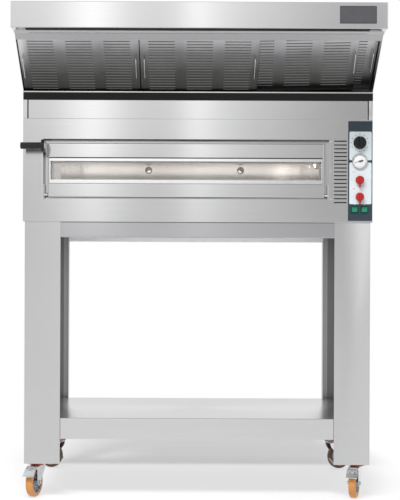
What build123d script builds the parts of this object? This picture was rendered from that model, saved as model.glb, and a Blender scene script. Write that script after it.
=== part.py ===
from build123d import *
import math
import os

# Electric pizza oven with an extraction hood on top, on a wheeled stainless stand.
# Millimetres. +Z up, the front faces -Y, +X is to the right of someone at the door.
# The origin is on the floor, under the middle of the whole object.

# Sheet and fits
SHEET = 1.5                 # casing sheet
LEG_SHEET = 2.0             # stand sheet
RUNNING = 0.05              # radial clearance of a pin that turns in its bore
CUT = 5.0                   # how far a cutting block runs past what it cuts

# Oven body
BODY_HALF = 750.0
FRONT_Y = -300.0
REAR_Y = 620.0
OVEN_BOTTOM = 1191.0
OVEN_TOP = 1633.0

# Door recess in the oven's front, with a cover strip screwed on at each end
RECESS_X = (-663.5, 562.0)
RECESS_Z = (1290.0, 1546.0)
MOUTH_Y = -255.0
STRIP_X = ((-680.0, -663.5), (562.0, 581.5))
STRIP_Z = (1284.0, 1546.0)
STRIP_SCREW_Z = (1291.0, 1412.0, 1539.0)
STRIP_SCREW_R = 3.2
STRIP_SCREW_H = 1.5

# Baking chamber behind the recess
CHAMBER_X = (-592.0, 542.0)
CHAMBER_Z = (1298.0, 1505.0)
CHAMBER_REAR = 485.0
STONE_TOP = 1334.0
STONE_T = 20.0
STONE_COUNT = 3
STONE_GAP = 2.0
STONE_Y = (-251.0, 483.0)
LEDGE_W = 15.0
LEDGE_T = 2.0

# Heating elements, bent as hairpins, under the stones and above the chamber
ELEMENT_R = 4.0
ELEMENT_ROWS = (-150.0, 30.0, 210.0, 390.0)
ELEMENT_HALF = 60.0
ELEMENT_BEND_R = 40.0
ELEMENT_X = (-562.0, 565.0)
ELEMENT_LOW_Z = 1305.0
ELEMENT_HIGH_Z = 1513.5

# Insulation boards round the chamber
BOARD_X = (-640.0, 600.0)
BOARD_Y = (-250.0, 540.0)
BOARD_Z = (1235.0, 1575.0)
BOARD_OVER_Z = 1520.5       # underside of the upper board, above the elements
BOARD_RIGHT_X = 575.0       # left face of the right-hand board, past the elements' ends

# Steam outlets from the chamber's rear wall to the back of the oven
OUTLET_X = (-238.0, 222.0)
OUTLET_Z = 1483.0
OUTLET_R = 15.0
OUTLET_WALL = 2.0
OUTLET_END = 645.0
OUTLET_RIM_R = 18.0
OUTLET_ROSE_R = 22.0
OUTLET_ROSE_T = 3.0
OUTLET_FIT = 0.5            # gap between a tube and the sheet that it passes through

# Lamp in the chamber's right-hand front corner
LAMP_BODY_X = (516.0, 542.0)
LAMP_Y = (-216.0, -176.0)
LAMP_Z = (1433.0, 1462.0)
LAMP_GLASS_R = 12.0
LAMP_GLASS_T = 6.0

# Contactor and terminal strip on the floor of the control bay
CONTACTOR_X = (655.0, 700.0)
CONTACTOR_Y = (-120.0, -40.0)
CONTACTOR_H = 85.0
CONTACTOR_CHAMFER = 3.0
TERMINAL_X = (655.0, 725.0)
TERMINAL_Y = (20.0, 55.0)
TERMINAL_H = 30.0
TERMINAL_COUNT = 6
TERMINAL_PITCH = 11.0
TERMINAL_NOTCH = (7.0, 25.0, 12.0)

# Cable gland in the rear panel
GLAND_X = 640.0
GLAND_Z = 1250.0
GLAND_R = 12.0
GLAND_BORE_R = 8.0
GLAND_FLATS_R = 18.0
GLAND_Y = (608.0, 644.0)
GLAND_NUT_H = 10.0
GLAND_DOME_R = 14.0

# Louvres beside the door
LOUVRE_X = (584.0, 639.0)
LOUVRE_TOP = 1543.0
LOUVRE_PITCH = 16.45
LOUVRE_H = 5.0
LOUVRE_COUNT = 17

# Control plate
PANEL_X = (644.5, 748.0)
PANEL_Z = (1199.0, 1626.5)
PANEL_T = 2.0
PANEL_FACE = FRONT_Y - PANEL_T
PANEL_LAND = (8.0, 24.0)    # how far the plate overlaps its opening, across and up
KNOB_X = 694.0
SHAFT_R = 3.0
SHAFT_IN = 20.0
THERMOSTAT_Z = 1534.0
THERMOSTAT_R = 27.5
THERMOSTAT_H = 22.0
HEAT_KNOB_Z = (1374.0, 1302.0)
HEAT_KNOB_R = 18.0
HEAT_KNOB_H = 19.0
HEAT_NOSE = 32.0
HEAT_NOSE_HALF = 4.0
SKIRT = (1.0, 5.0)          # a knob's skirt, in front of the plate
CAP_RATIO = 0.86
CAP_FILLET = 2.0
GRIP_RATIO = (0.22, 0.8)    # half width and half height of the bar across a knob, to its radius
GRIP_STANDS = 4.0
GRIP_SINKS = 3.0

# Dial thermometer
GAUGE_Z = 1454.0
GAUGE_R = 33.5
GAUGE_STANDS = 8.0
GAUGE_WALL = 2.5
GAUGE_DIAL = 2.0            # dial's face, in front of the plate
GAUGE_BODY_R = 28.2
GAUGE_BODY_DEPTH = 36.0
GAUGE_HOLE_R = 28.5
NEEDLE_PIN_R = 1.5
NEEDLE_PIN_END = 6.2
NEEDLE_HUB_R = 4.0
NEEDLE_HUB = (3.2, 5.6)
NEEDLE_BLADE_X = (-25.0, 12.0)
NEEDLE_WEIGHT_X = (4.0, 14.0)
NEEDLE_HALF = (0.5, 1.1, 2.2)   # half thickness, half width, half width of the counterweight
NEEDLE_TILT = 14.0          # the counterweight points this far above the right

# Rocker switches
SWITCH_X = (672.4, 714.8)
SWITCH_Z = 1246.6
SWITCH_FRAME = 34.0
SWITCH_BODY = 29.0
SWITCH_WALL = 1.7
SWITCH_DEPTH = 26.0
SWITCH_HOLLOW = 22.0
SWITCH_RIM = 2.5
ROCKER_W = 23.0
ROCKER_H = 21.0
ROCKER_STANDS = (5.0, 4.0, 3.0)   # top edge, middle and bottom edge, in front of the plate
ROCKER_BACK = (9.0, 7.0)    # depth behind the plate's face, and half height there
ROCKER_PIVOT_Y = -298.0
TRUNNION_R = 1.5
TRUNNION_END = 1.0
TRUNNION_SOCKET = 1.2

# Door
DOOR_X = (-643.5, 542.5)
DOOR_Z = (1296.5, 1528.5)
DOOR_Y = (-296.0, -264.0)
TRIM_X = (-638.0, 535.0)
TRIM_Z = (1356.0, 1466.0)
TRIM_T = 6.0
TRIM_BEVEL = 4.5
WINDOW_X = (-631.5, 529.0)
WINDOW_Z = (1373.5, 1450.0)
PANE_T = 4.0
PANE_EDGE = (4.0, 5.0)      # how far a pane runs past the window, across and up
PANE_Y = (-290.0, -270.5)
INNER_PANEL_Y = (-266.5, -265.0)
INNER_PANEL_INSET = 2.5
INNER_PANEL_HOLE = (-6.0, -4.0)
HINGE_Y = -284.0
HINGE_Z = 1307.0
HINGE_PIN_R = 4.0
BUSH_LENGTH = 20.0
BUSH_Y = (-292.0, -274.0)
BUSH_TOP = 1317.0
HINGE_PLATE_T = 4.0
HINGE_PLATE_Y = (-290.0, -262.0)
HINGE_PLATE_H = 62.0
HINGE_BOSS_R = 8.0
HINGE_BOSS_GAP = 3.0
HINGE_PIN_REACH = 17.0

# Door handle: a grip that stands out from the door's left end on a bracket
GRIP_Y = -380.0
GRIP_Z = 1507.5
GRIP_R = 14.5
GRIP_TIP = -749.0
GRIP_FILLET = 3.0
GRIP_DISC = (-660.5, -648.5)
GRIP_DISC_R = 27.0
BRACKET_T = 5.0
BRACKET_OUTLINE = ((-268.0, 1466.0), (-293.0, 1466.0), (-368.0, 1490.0), (-394.0, 1496.0),
                   (-394.0, 1519.0), (-374.0, 1524.0), (-268.0, 1526.0))

# Hood
HOOD_REAR = 650.0
HOOD_TOP = 2053.0
CROWN_FRONT = -648.5
CROWN_BACK = -572.0
CROWN_BOTTOM = 1947.0
CROWN_LIP = 1941.0
AIR_SLOT_X = (-695.0, 683.0)
AIR_SLOT_Y = (-643.0, -598.0)
BADGE_X = (558.0, 705.0)
BADGE_Z = (1967.0, 2037.5)
POST_W = 17.5
LOWER_PANEL_TOP = 1713.0
LOWER_PANEL_HALF = 731.0
GUTTER_BOTTOM = 1714.0
GUTTER_TOP = 1752.0
GUTTER_BACK = -240.0
GUTTER_HEM = 7.0
HEM_STANDS = 3.0
STRIP_STANDS = 1.2
COLLAR_Y = 330.0
COLLAR_R = 100.0
COLLAR_H = 50.0
COLLAR_FLANGE_R = 122.0

# The filter bank lies on a slope that rises from the gutter to the crown
SLOPE_TOP_Z = 1965.0
SLOPE_RUN = FRONT_Y - CROWN_BACK
SLOPE_RISE = SLOPE_TOP_Z - GUTTER_TOP
SLOPE_LENGTH = math.hypot(SLOPE_RUN, SLOPE_RISE)
RAIL_TOP_S = (281.0, SLOPE_LENGTH - 4.0)
RAIL_LEDGE_S = (-26.8, -25.3)
RAIL_LEDGE_FRONT = -5.0
RAIL_BACK = -70.0

# Grease filters: a full one is 495 mm wide, and a narrow one fills the end of the bank
FILTER_W = 495.0
INFILL_W = 192.0
FILTER_S = (-25.0, 285.0)   # along the slope, from the gutter's lip
FILTER_T = 18.0
FILTER_SKIN = 1.2
FILTER_LEFT = {"filter_left": -743.0, "filter_centre": -243.0, "filter_right": 171.0,
               "filter_infill": 551.0}
TRACKS = (-8.0, -29.0, -50.0)   # front of each track, behind the slope's plane
SLOT_ROWS = 18
SLOT_PITCH = 15.2
SLOT_FIRST = 4.0
SLOT_H = 5.0
SLOT_W = 109.0
SLOT_COLUMNS = (35.0, 193.0, 351.0)
INFILL_COLUMN = 42.0
SLOT_CUT = (2.0, 1.0)       # how far a slot's cut runs into the box and out in front of it
HANDLE_INSET = 13.0
CENTRE_HANDLE_INSET = 17.0
HANDLE_S = (80.0, 190.0)
HANDLE_OUT = 24.0
HANDLE_BEND_R = 12.0
WIRE_R = 2.0
RIGHT_FILTER_SKEW = 1.4     # degrees that the right-hand filter hangs askew, on its lower corner

# Stand
STAND_HALF = 743.0
STAND_FRONT = -290.0
STAND_REAR = 510.0
FRONT_LEG_W = 154.0
REAR_LEG_W = 109.0
LEG_D = 158.0
LEG_BOTTOM = 150.0
FOOT_T = 4.0
RAIL_BOTTOM = 1124.0
RAIL_D = 40.0
SHELF_TOP = 346.0
SHELF_BOTTOM = 256.0
SHELF_Y = (-280.0, 466.0)
SHELF_BOLT_Z = 300.0
SHELF_BOLT_Y = (-200.0, 430.0)
BOLT_HEAD = (6.5, 5.0)      # radius over the corners, height

# Casters: place of the swivel and the way that the wheel trails
CASTERS = {
    "front_left": (-694.0, -205.0, -16.0),
    "front_right": (696.0, -205.0, -18.0),
    "rear_left": (-683.0, 448.0, -118.0),
    "rear_right": (683.0, 448.0, 118.0),
}
BRAKED = ("front_left", "front_right")
PLATE_Z = (146.0, 150.0)
PLATE_HALF = (43.0, 52.0)
STUD_AT = (33.0, 42.0)
STUD_R = 3.6
STUD_HOLE_R = 4.0
STUD_LOW = 139.5
KINGPIN_R = 6.0
KINGPIN_LOW = 130.5
SWIVEL_HEAD_R = 33.0
SWIVEL_HEAD_Z = (133.0, 145.6)
FORK_TOP_Z = (130.0, 133.0)
FORK_TOP_Y = (-54.0, 30.0)
FORK_IN = 20.0
FORK_T = 3.0
FORK_CHEEK = ((30.0, 133.0), (24.0, 112.0), (-23.0, 56.5), (-38.0, 48.5), (-53.0, 56.5), (-54.0, 118.0))
CHEEK_PLAIN_END = ((-54.0, 133.0),)
CHEEK_PEDAL_LUG = ((-72.0, 124.0), (-72.0, 137.0), (-54.0, 137.0), (-50.0, 133.0))
WHEEL_R = 62.5
WHEEL_W = 32.0
TREAD_FILLET = 9.0
HUB_R = 48.0
HUB_W = 30.0
DISH_R = (15.0, 42.0)
DISH_DEPTH = 7.0
BOSS_R = 13.0
BOSS_W = 39.0
TRAIL = 38.0
AXLE_R = 5.0
AXLE_HALF = 29.0
WASHER_R = 10.0
WASHER_T = 2.0
AXLE_NUT = (8.5, 6.0)

# Brake pedals of the front casters, drawn round their pivot
PEDAL_PIVOT = (-64.0, 131.0)
PEDAL_PIN_R = 3.0
PEDAL_PIN_HALF = 26.0
PEDAL_TUBE_R = 6.0
PEDAL_TUBE_HALF = 19.5
PEDAL_TREAD_HALF = 24.0
PEDAL_TREAD = ((-11.0, -3.0), (-11.0, -8.0), (-44.0, -36.0), (-50.0, -36.0), (-50.0, -33.0), (-45.0, -32.0))
PEDAL_WEB = ((0.0, 6.0), (-12.0, 2.0), (-15.0, -8.0), (-10.0, -8.0), (0.0, -6.0))


def slab(x, y, z):
    """A block between two corners, given as (low, high) on each axis."""
    centre = Pos(sum(x) / 2, sum(y) / 2, sum(z) / 2)
    return centre * Box(x[1] - x[0], y[1] - y[0], z[1] - z[0])


def rod_x(x, y, z, radius):
    return Pos(sum(x) / 2, y, z) * Rot(0, 90, 0) * Cylinder(radius, x[1] - x[0])


def rod_y(x, y, z, radius):
    return Pos(x, sum(y) / 2, z) * Rot(90, 0, 0) * Cylinder(radius, y[1] - y[0])


def rod_z(x, y, z, radius):
    return Pos(x, y, sum(z) / 2) * Cylinder(radius, z[1] - z[0])


def grow(pair, amount):
    return (pair[0] - amount, pair[1] + amount)


def around(centre, half):
    return (centre - half, centre + half)


def side_plate(points, x):
    """A sheet that stands across X, cut to an outline of (y, z) points."""
    face = make_face(Polyline(*[(0, y, z) for y, z in points], close=True))
    return Pos(x[0], 0, 0) * extrude(face, x[1] - x[0], dir=(1, 0, 0))


def fuse(shapes):
    solid = shapes[0]
    for shape in shapes[1:]:
        solid = solid + shape
    return solid


def mirrored(solid):
    """The piece and its twin on the other side of X = 0."""
    return [solid, mirror(solid, about=Plane.YZ)]


nodes = {}


def keep(name, solids):
    nodes[name] = solids if isinstance(solids, list) else [solids]


# Stand

def stand_legs():
    """Angle legs folded round the stand's corners, with a foot plate and a cap. The rear pair has a lip
    that the rear rail is welded to."""
    height = (LEG_BOTTOM, OVEN_BOTTOM)
    inside = (LEG_BOTTOM + FOOT_T, OVEN_BOTTOM - LEG_SHEET)
    x = (-STAND_HALF, -STAND_HALF + FRONT_LEG_W)
    y = (STAND_FRONT, STAND_FRONT + LEG_D)
    hollow = slab((x[0] + LEG_SHEET, x[1] + CUT), (y[0] + LEG_SHEET, y[1] + CUT), inside)
    keep("stand_front_legs", mirrored(slab(x, y, height) - hollow))
    x = (-STAND_HALF, -STAND_HALF + REAR_LEG_W)
    y = (STAND_REAR - LEG_D, STAND_REAR)
    hollow = slab(grow(x, -LEG_SHEET), (y[0] - CUT, y[1] - LEG_SHEET), inside)
    past_lip = slab((x[1] - LEG_SHEET - CUT, x[1] + CUT), (y[0] - CUT, y[1] - RAIL_D), inside)
    keep("stand_rear_legs", mirrored(slab(x, y, height) - hollow - past_lip))


def stand_rails():
    """Four channels under the oven, between the legs. The rear one is open to the rear."""
    height = (RAIL_BOTTOM, OVEN_BOTTOM)
    inside = grow(height, -LEG_SHEET)
    front_half = STAND_HALF - FRONT_LEG_W
    rear_half = STAND_HALF - REAR_LEG_W
    front_y = (STAND_FRONT, STAND_FRONT + RAIL_D)
    front = slab((-front_half, front_half), front_y, height)
    front = front - slab((-front_half, front_half), (front_y[0] + LEG_SHEET, front_y[1] + CUT), inside)
    rear_y = (STAND_REAR - RAIL_D, STAND_REAR)
    rear = slab((-rear_half, rear_half), rear_y, height)
    rear = rear - slab((-rear_half, rear_half), (rear_y[0] + LEG_SHEET, rear_y[1] + CUT), inside)
    run = (STAND_FRONT + LEG_D, STAND_REAR - LEG_D)
    side = slab((-STAND_HALF, -STAND_HALF + RAIL_D), run, height)
    side = side - slab((-STAND_HALF + LEG_SHEET, -STAND_HALF + RAIL_D + CUT), run, inside)
    keep("stand_rails", [front, rear] + mirrored(side))


def stand_shelf():
    """A tray with turned-down edges, which fits between the sides of the legs."""
    x = grow((-STAND_HALF, STAND_HALF), -LEG_SHEET)
    under = (SHELF_BOTTOM - CUT, SHELF_TOP - LEG_SHEET)
    hollow = slab(grow(x, -LEG_SHEET), grow(SHELF_Y, -LEG_SHEET), under)
    keep("stand_shelf", slab(x, SHELF_Y, (SHELF_BOTTOM, SHELF_TOP)) - hollow)


def stand_bolts():
    """The hexagon heads that hold the shelf, outside the legs, and the casters' nuts on their studs."""
    solids = []
    head = Rot(0, 90, 0) * extrude(RegularPolygon(BOLT_HEAD[0], 6), BOLT_HEAD[1])
    for y in SHELF_BOLT_Y:
        solids += mirrored(Pos(-STAND_HALF - BOLT_HEAD[1], y, SHELF_BOLT_Z) * head)
    nut = extrude(RegularPolygon(BOLT_HEAD[0], 6), BOLT_HEAD[1])
    for x, y, turn in CASTERS.values():
        for stud_x in around(x, STUD_AT[0]):
            for stud_y in around(y, STUD_AT[1]):
                stud = rod_z(stud_x, stud_y, (STUD_LOW, LEG_BOTTOM), STUD_R)
                solids.append(Pos(stud_x, stud_y, PLATE_Z[0] - BOLT_HEAD[1]) * nut + stud)
    keep("stand_bolts", solids)


# Casters

def on_caster(name, shape):
    """Places a shape drawn round a swivel at the origin, with the wheel trailing towards -Y."""
    x, y, turn = CASTERS[name]
    return Pos(x, y, 0) * Rot(0, 0, turn) * shape


def caster_plates():
    """Bolted top plates, each with the kingpin that its fork turns on."""
    plates = []
    for x, y, turn in CASTERS.values():
        plate = slab(around(x, PLATE_HALF[0]), around(y, PLATE_HALF[1]), PLATE_Z)
        plate = plate + rod_z(x, y, (KINGPIN_LOW, PLATE_Z[0]), KINGPIN_R)
        for stud_x in around(x, STUD_AT[0]):
            for stud_y in around(y, STUD_AT[1]):
                plate = plate - rod_z(stud_x, stud_y, grow(PLATE_Z, CUT), STUD_HOLE_R)
        plates.append(plate)
    keep("caster_top_plates", plates)


def caster_fork(braked):
    """A round head, a top and two cheeks, with the axle, its washers and nuts."""
    head = rod_z(0, 0, SWIVEL_HEAD_Z, SWIVEL_HEAD_R)
    top = slab(around(0, FORK_IN + FORK_T), FORK_TOP_Y, FORK_TOP_Z)
    end = CHEEK_PEDAL_LUG if braked else CHEEK_PLAIN_END
    cheek = side_plate(FORK_CHEEK + end, (FORK_IN, FORK_IN + FORK_T))
    fork = fuse([head, top] + mirrored(cheek))
    fork = fork - rod_z(0, 0, (FORK_TOP_Z[0] - CUT, SWIVEL_HEAD_Z[1] + CUT), KINGPIN_R + RUNNING)
    outside = FORK_IN + FORK_T
    axle = rod_x(around(0, AXLE_HALF), -TRAIL, WHEEL_R, AXLE_R)
    washer = rod_x((outside, outside + WASHER_T), -TRAIL, WHEEL_R, WASHER_R)
    nut = Pos(outside + WASHER_T, -TRAIL, WHEEL_R) * Rot(0, 90, 0) * extrude(
        RegularPolygon(AXLE_NUT[0], 6), AXLE_NUT[1])
    fork = fuse([fork, axle] + mirrored(washer) + mirrored(nut))
    if braked:
        fork = fork + rod_x(around(0, PEDAL_PIN_HALF), PEDAL_PIVOT[0], PEDAL_PIVOT[1], PEDAL_PIN_R)
    return fork


def caster_wheel():
    """A tyre on a hub that is dished on both sides, with a boss round the axle."""
    tyre = Cylinder(WHEEL_R, WHEEL_W) - Cylinder(HUB_R, WHEEL_W + CUT)
    rims = tyre.edges().filter_by(GeomType.CIRCLE).group_by(SortBy.RADIUS)[-1]
    tyre = fillet(rims, TREAD_FILLET)
    dish = Cylinder(DISH_R[1], DISH_DEPTH) - Cylinder(DISH_R[0], DISH_DEPTH)
    middle = (HUB_W - DISH_DEPTH) / 2
    hub = Cylinder(HUB_R, HUB_W) - Pos(0, 0, middle) * dish - Pos(0, 0, -middle) * dish
    hub = hub + Cylinder(BOSS_R, BOSS_W) - Cylinder(AXLE_R + RUNNING, BOSS_W + CUT)
    at_axle = Pos(0, -TRAIL, WHEEL_R) * Rot(0, 90, 0)
    return [at_axle * tyre, at_axle * hub]


def brake_pedal():
    """A tread on a web and a tube that turns on the pin between the fork's lugs."""
    y, z = PEDAL_PIVOT
    tube = rod_x(around(0, PEDAL_TUBE_HALF), y, z, PEDAL_TUBE_R)
    tread = side_plate([(y + dy, z + dz) for dy, dz in PEDAL_TREAD], around(0, PEDAL_TREAD_HALF))
    web = side_plate([(y + dy, z + dz) for dy, dz in PEDAL_WEB], around(0, PEDAL_TUBE_HALF))
    return fuse([tube, web, tread]) - rod_x(around(0, PEDAL_PIN_HALF), y, z, PEDAL_PIN_R + RUNNING)


def casters():
    caster_plates()
    for name in CASTERS:
        keep("caster_fork_" + name, on_caster(name, caster_fork(name in BRAKED)))
        keep("caster_wheel_" + name, [on_caster(name, solid) for solid in caster_wheel()])
    for name in BRAKED:
        keep("brake_pedal_" + name, on_caster(name, brake_pedal()))


# Oven casing

def oven_casing():
    """Five panels round the chamber, and the front panel with its openings and louvres."""
    inner_x = around(0, BODY_HALF - SHEET)
    inner_y = (FRONT_Y + SHEET, REAR_Y - SHEET)
    height = (OVEN_BOTTOM, OVEN_TOP)
    front_y = (FRONT_Y, FRONT_Y + SHEET)
    through = grow(front_y, CUT)
    front = slab(around(0, BODY_HALF), front_y, height) - slab(RECESS_X, through, RECESS_Z)
    front = front - slab(grow(PANEL_X, -PANEL_LAND[0]), through, grow(PANEL_Z, -PANEL_LAND[1]))
    for row in range(LOUVRE_COUNT):
        top = LOUVRE_TOP - row * LOUVRE_PITCH
        front = front - slab(LOUVRE_X, through, (top - LOUVRE_H, top))
    keep("oven_front_panel", front)
    side = slab((-BODY_HALF, -BODY_HALF + SHEET), (inner_y[0], REAR_Y), height)
    keep("oven_side_panels", mirrored(side))
    keep("oven_top_panel", slab(inner_x, inner_y, (OVEN_TOP - SHEET, OVEN_TOP)))
    keep("oven_base_panel", slab(inner_x, inner_y, (OVEN_BOTTOM, OVEN_BOTTOM + SHEET)))
    rear_y = (REAR_Y - SHEET, REAR_Y)
    rear = slab(inner_x, rear_y, height)
    for x in OUTLET_X:
        rear = rear - rod_y(x, grow(rear_y, CUT), OUTLET_Z, OUTLET_R + OUTLET_FIT)
    keep("oven_rear_panel", rear - rod_y(GLAND_X, grow(rear_y, CUT), GLAND_Z, GLAND_R))


def cable_gland():
    """A hexagon cable gland in the rear panel, with its bore open for the mains lead."""
    body = rod_y(GLAND_X, (GLAND_Y[0], REAR_Y), GLAND_Z, GLAND_R)
    nut = Pos(GLAND_X, REAR_Y, GLAND_Z) * Rot(-90, 0, 0) * extrude(
        RegularPolygon(GLAND_FLATS_R, 6), GLAND_NUT_H)
    dome = rod_y(GLAND_X, (REAR_Y, GLAND_Y[1]), GLAND_Z, GLAND_DOME_R)
    bore = rod_y(GLAND_X, grow(GLAND_Y, CUT), GLAND_Z, GLAND_BORE_R)
    keep("cable_gland", fuse([body, nut, dome]) - bore)


def recess_pieces():
    """The folded surround that the door sits in, and the two screwed cover strips."""
    depth = (FRONT_Y + SHEET, MOUTH_Y)
    frame = slab(grow(RECESS_X, SHEET), depth, grow(RECESS_Z, SHEET))
    frame = frame - slab(RECESS_X, (depth[0] - CUT, MOUTH_Y - SHEET), RECESS_Z)
    frame = frame - slab(CHAMBER_X, around(MOUTH_Y, CUT), CHAMBER_Z)
    keep("recess_frame", frame)
    strips = []
    for x in STRIP_X:
        strip = slab(x, (FRONT_Y - SHEET, FRONT_Y), STRIP_Z)
        for z in STRIP_SCREW_Z:
            strip = strip + rod_y(sum(x) / 2, (FRONT_Y - SHEET - STRIP_SCREW_H, FRONT_Y - SHEET), z,
                                  STRIP_SCREW_R)
        strips.append(strip)
    keep("recess_side_strips", strips)


# Inside the oven

def chamber_liner():
    """Sheet walls welded edge to edge into a box that is open to the front, with ledges for the stones."""
    left, right = CHAMBER_X
    bottom, top = CHAMBER_Z
    across = grow(CHAMBER_X, SHEET)
    depth = (MOUTH_Y, CHAMBER_REAR)
    rear = slab(across, (CHAMBER_REAR, CHAMBER_REAR + SHEET), grow(CHAMBER_Z, SHEET))
    for x in OUTLET_X:
        rear = rear - rod_y(x, around(CHAMBER_REAR, CUT), OUTLET_Z, OUTLET_R + OUTLET_FIT)
    element_side = slab((right, right + SHEET), depth, CHAMBER_Z)
    for row in ELEMENT_ROWS:
        for y in around(row, ELEMENT_HALF):
            element_side = element_side - rod_x(around(right, CUT), y, ELEMENT_LOW_Z, ELEMENT_R + OUTLET_FIT)
    ledge_z = (STONE_TOP - STONE_T - LEDGE_T, STONE_TOP - STONE_T)
    between = grow(depth, -LEDGE_W)
    keep("chamber_liner", [
        slab(across, depth, (bottom - SHEET, bottom)),
        slab(across, depth, (top, top + SHEET)),
        slab((left - SHEET, left), depth, CHAMBER_Z),
        element_side,
        rear,
        slab(CHAMBER_X, (MOUTH_Y, between[0]), ledge_z),
        slab(CHAMBER_X, (between[1], CHAMBER_REAR), ledge_z),
        slab((left, left + LEDGE_W), between, ledge_z),
        slab((right - LEDGE_W, right), between, ledge_z),
    ])


def refractory_stones():
    width = (CHAMBER_X[1] - CHAMBER_X[0] - STONE_GAP * (STONE_COUNT + 1)) / STONE_COUNT
    stones = []
    for index in range(STONE_COUNT):
        left = CHAMBER_X[0] + STONE_GAP + index * (width + STONE_GAP)
        stones.append(slab((left, left + width), STONE_Y, (STONE_TOP - STONE_T, STONE_TOP)))
    keep("refractory_stones", stones)


def hairpin(row, z):
    """A heating element bent as a hairpin, its two ends at the terminals."""
    bend_x, end_x = ELEMENT_X
    near, far = around(row, ELEMENT_HALF)
    path = FilletPolyline((end_x, near, z), (bend_x, near, z), (bend_x, far, z), (end_x, far, z),
                          radius=ELEMENT_BEND_R)
    start = Plane(origin=(end_x, near, z), z_dir=(-1, 0, 0))
    return sweep(start * Circle(ELEMENT_R), path=path)


def heating_elements():
    elements = []
    for row in ELEMENT_ROWS:
        elements += [hairpin(row, ELEMENT_LOW_Z), hairpin(row, ELEMENT_HIGH_Z)]
    keep("heating_elements", elements)


def insulation_boards():
    """Mineral wool boards above, below, beside and behind the liner."""
    liner_x = grow(CHAMBER_X, SHEET)
    middle_z = (CHAMBER_Z[0] - SHEET, BOARD_OVER_Z)
    rear = slab(liner_x, (CHAMBER_REAR + SHEET, BOARD_Y[1]), middle_z)
    for x in OUTLET_X:
        rear = rear - rod_y(x, grow((CHAMBER_REAR, BOARD_Y[1]), CUT), OUTLET_Z, OUTLET_R + OUTLET_FIT)
    keep("insulation_boards", [
        slab(BOARD_X, BOARD_Y, (BOARD_OVER_Z, BOARD_Z[1])),
        slab(BOARD_X, BOARD_Y, (BOARD_Z[0], middle_z[0])),
        slab((BOARD_X[0], liner_x[0]), BOARD_Y, middle_z),
        slab((BOARD_RIGHT_X, BOARD_X[1]), BOARD_Y, middle_z),
        rear,
    ])


def steam_outlets():
    """Tubes with a rim in the chamber and a rose on the oven's back."""
    outlets = []
    for x in OUTLET_X:
        tube = rod_y(x, (CHAMBER_REAR, OUTLET_END), OUTLET_Z, OUTLET_R)
        rim = rod_y(x, (CHAMBER_REAR - SHEET, CHAMBER_REAR), OUTLET_Z, OUTLET_RIM_R)
        rose = rod_y(x, (REAR_Y, REAR_Y + OUTLET_ROSE_T), OUTLET_Z, OUTLET_ROSE_R)
        bore = rod_y(x, grow((CHAMBER_REAR, OUTLET_END), CUT), OUTLET_Z, OUTLET_R - OUTLET_WALL)
        outlets.append(fuse([tube, rim, rose]) - bore)
    keep("steam_outlets", outlets)


def chamber_lamp():
    body = slab(LAMP_BODY_X, LAMP_Y, LAMP_Z)
    glass = rod_x((LAMP_BODY_X[0] - LAMP_GLASS_T, LAMP_BODY_X[0]), sum(LAMP_Y) / 2, sum(LAMP_Z) / 2,
                  LAMP_GLASS_R)
    keep("chamber_lamp", [body, glass])


def terminal_block():
    """A contactor and a terminal strip on the floor of the control bay."""
    base = OVEN_BOTTOM + SHEET
    contactor = slab(CONTACTOR_X, CONTACTOR_Y, (base, base + CONTACTOR_H))
    contactor = chamfer(contactor.edges().filter_by(Axis.Z), CONTACTOR_CHAMFER)
    strip = slab(TERMINAL_X, TERMINAL_Y, (base, base + TERMINAL_H))
    width, depth, height = TERMINAL_NOTCH
    for index in range(TERMINAL_COUNT):
        x = TERMINAL_X[0] + width + index * TERMINAL_PITCH
        strip = strip - slab((x, x + width), (TERMINAL_Y[1] - depth, TERMINAL_Y[1] + CUT),
                             (base + TERMINAL_H - height, base + TERMINAL_H + CUT))
    keep("terminal_block", [contactor, strip])


# Controls

def control_panel():
    """The plate that carries the knobs, the dial and the switches."""
    face = (PANEL_FACE, FRONT_Y)
    through = grow(face, CUT)
    plate = slab(PANEL_X, face, PANEL_Z)
    for z in (THERMOSTAT_Z,) + HEAT_KNOB_Z:
        plate = plate - rod_y(KNOB_X, through, z, SHAFT_R + RUNNING)
    plate = plate - rod_y(KNOB_X, through, GAUGE_Z, GAUGE_HOLE_R)
    for x in SWITCH_X:
        plate = plate - slab(around(x, SWITCH_BODY / 2), through, around(SWITCH_Z, SWITCH_BODY / 2))
    keep("control_panel", plate)


def knob(z, radius, height, nose=0.0):
    """A knob on its shaft, with a bar across it and a nose that points down if it has one."""
    skirt = rod_y(KNOB_X, (PANEL_FACE - SKIRT[1], PANEL_FACE - SKIRT[0]), z, radius)
    cap = rod_y(KNOB_X, (PANEL_FACE - height, PANEL_FACE - SKIRT[1]), z, radius * CAP_RATIO)
    cap = fillet(cap.edges().filter_by(GeomType.CIRCLE).group_by(Axis.Y)[0], CAP_FILLET)
    grip = slab(around(KNOB_X, radius * GRIP_RATIO[0]),
                (PANEL_FACE - height - GRIP_STANDS, PANEL_FACE - height + GRIP_SINKS),
                around(z, radius * GRIP_RATIO[1]))
    shaft = rod_y(KNOB_X, (PANEL_FACE - SKIRT[0], PANEL_FACE + SHAFT_IN), z, SHAFT_R)
    solid = fuse([skirt, cap, grip, shaft])
    if nose:
        back = PANEL_FACE - SKIRT[0]
        outline = [(back, z), (PANEL_FACE - height + GRIP_STANDS, z),
                   (PANEL_FACE - height + 2 * GRIP_STANDS, z - nose), (back, z - nose)]
        solid = solid + side_plate(outline, around(KNOB_X, HEAT_NOSE_HALF))
    return solid


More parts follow.
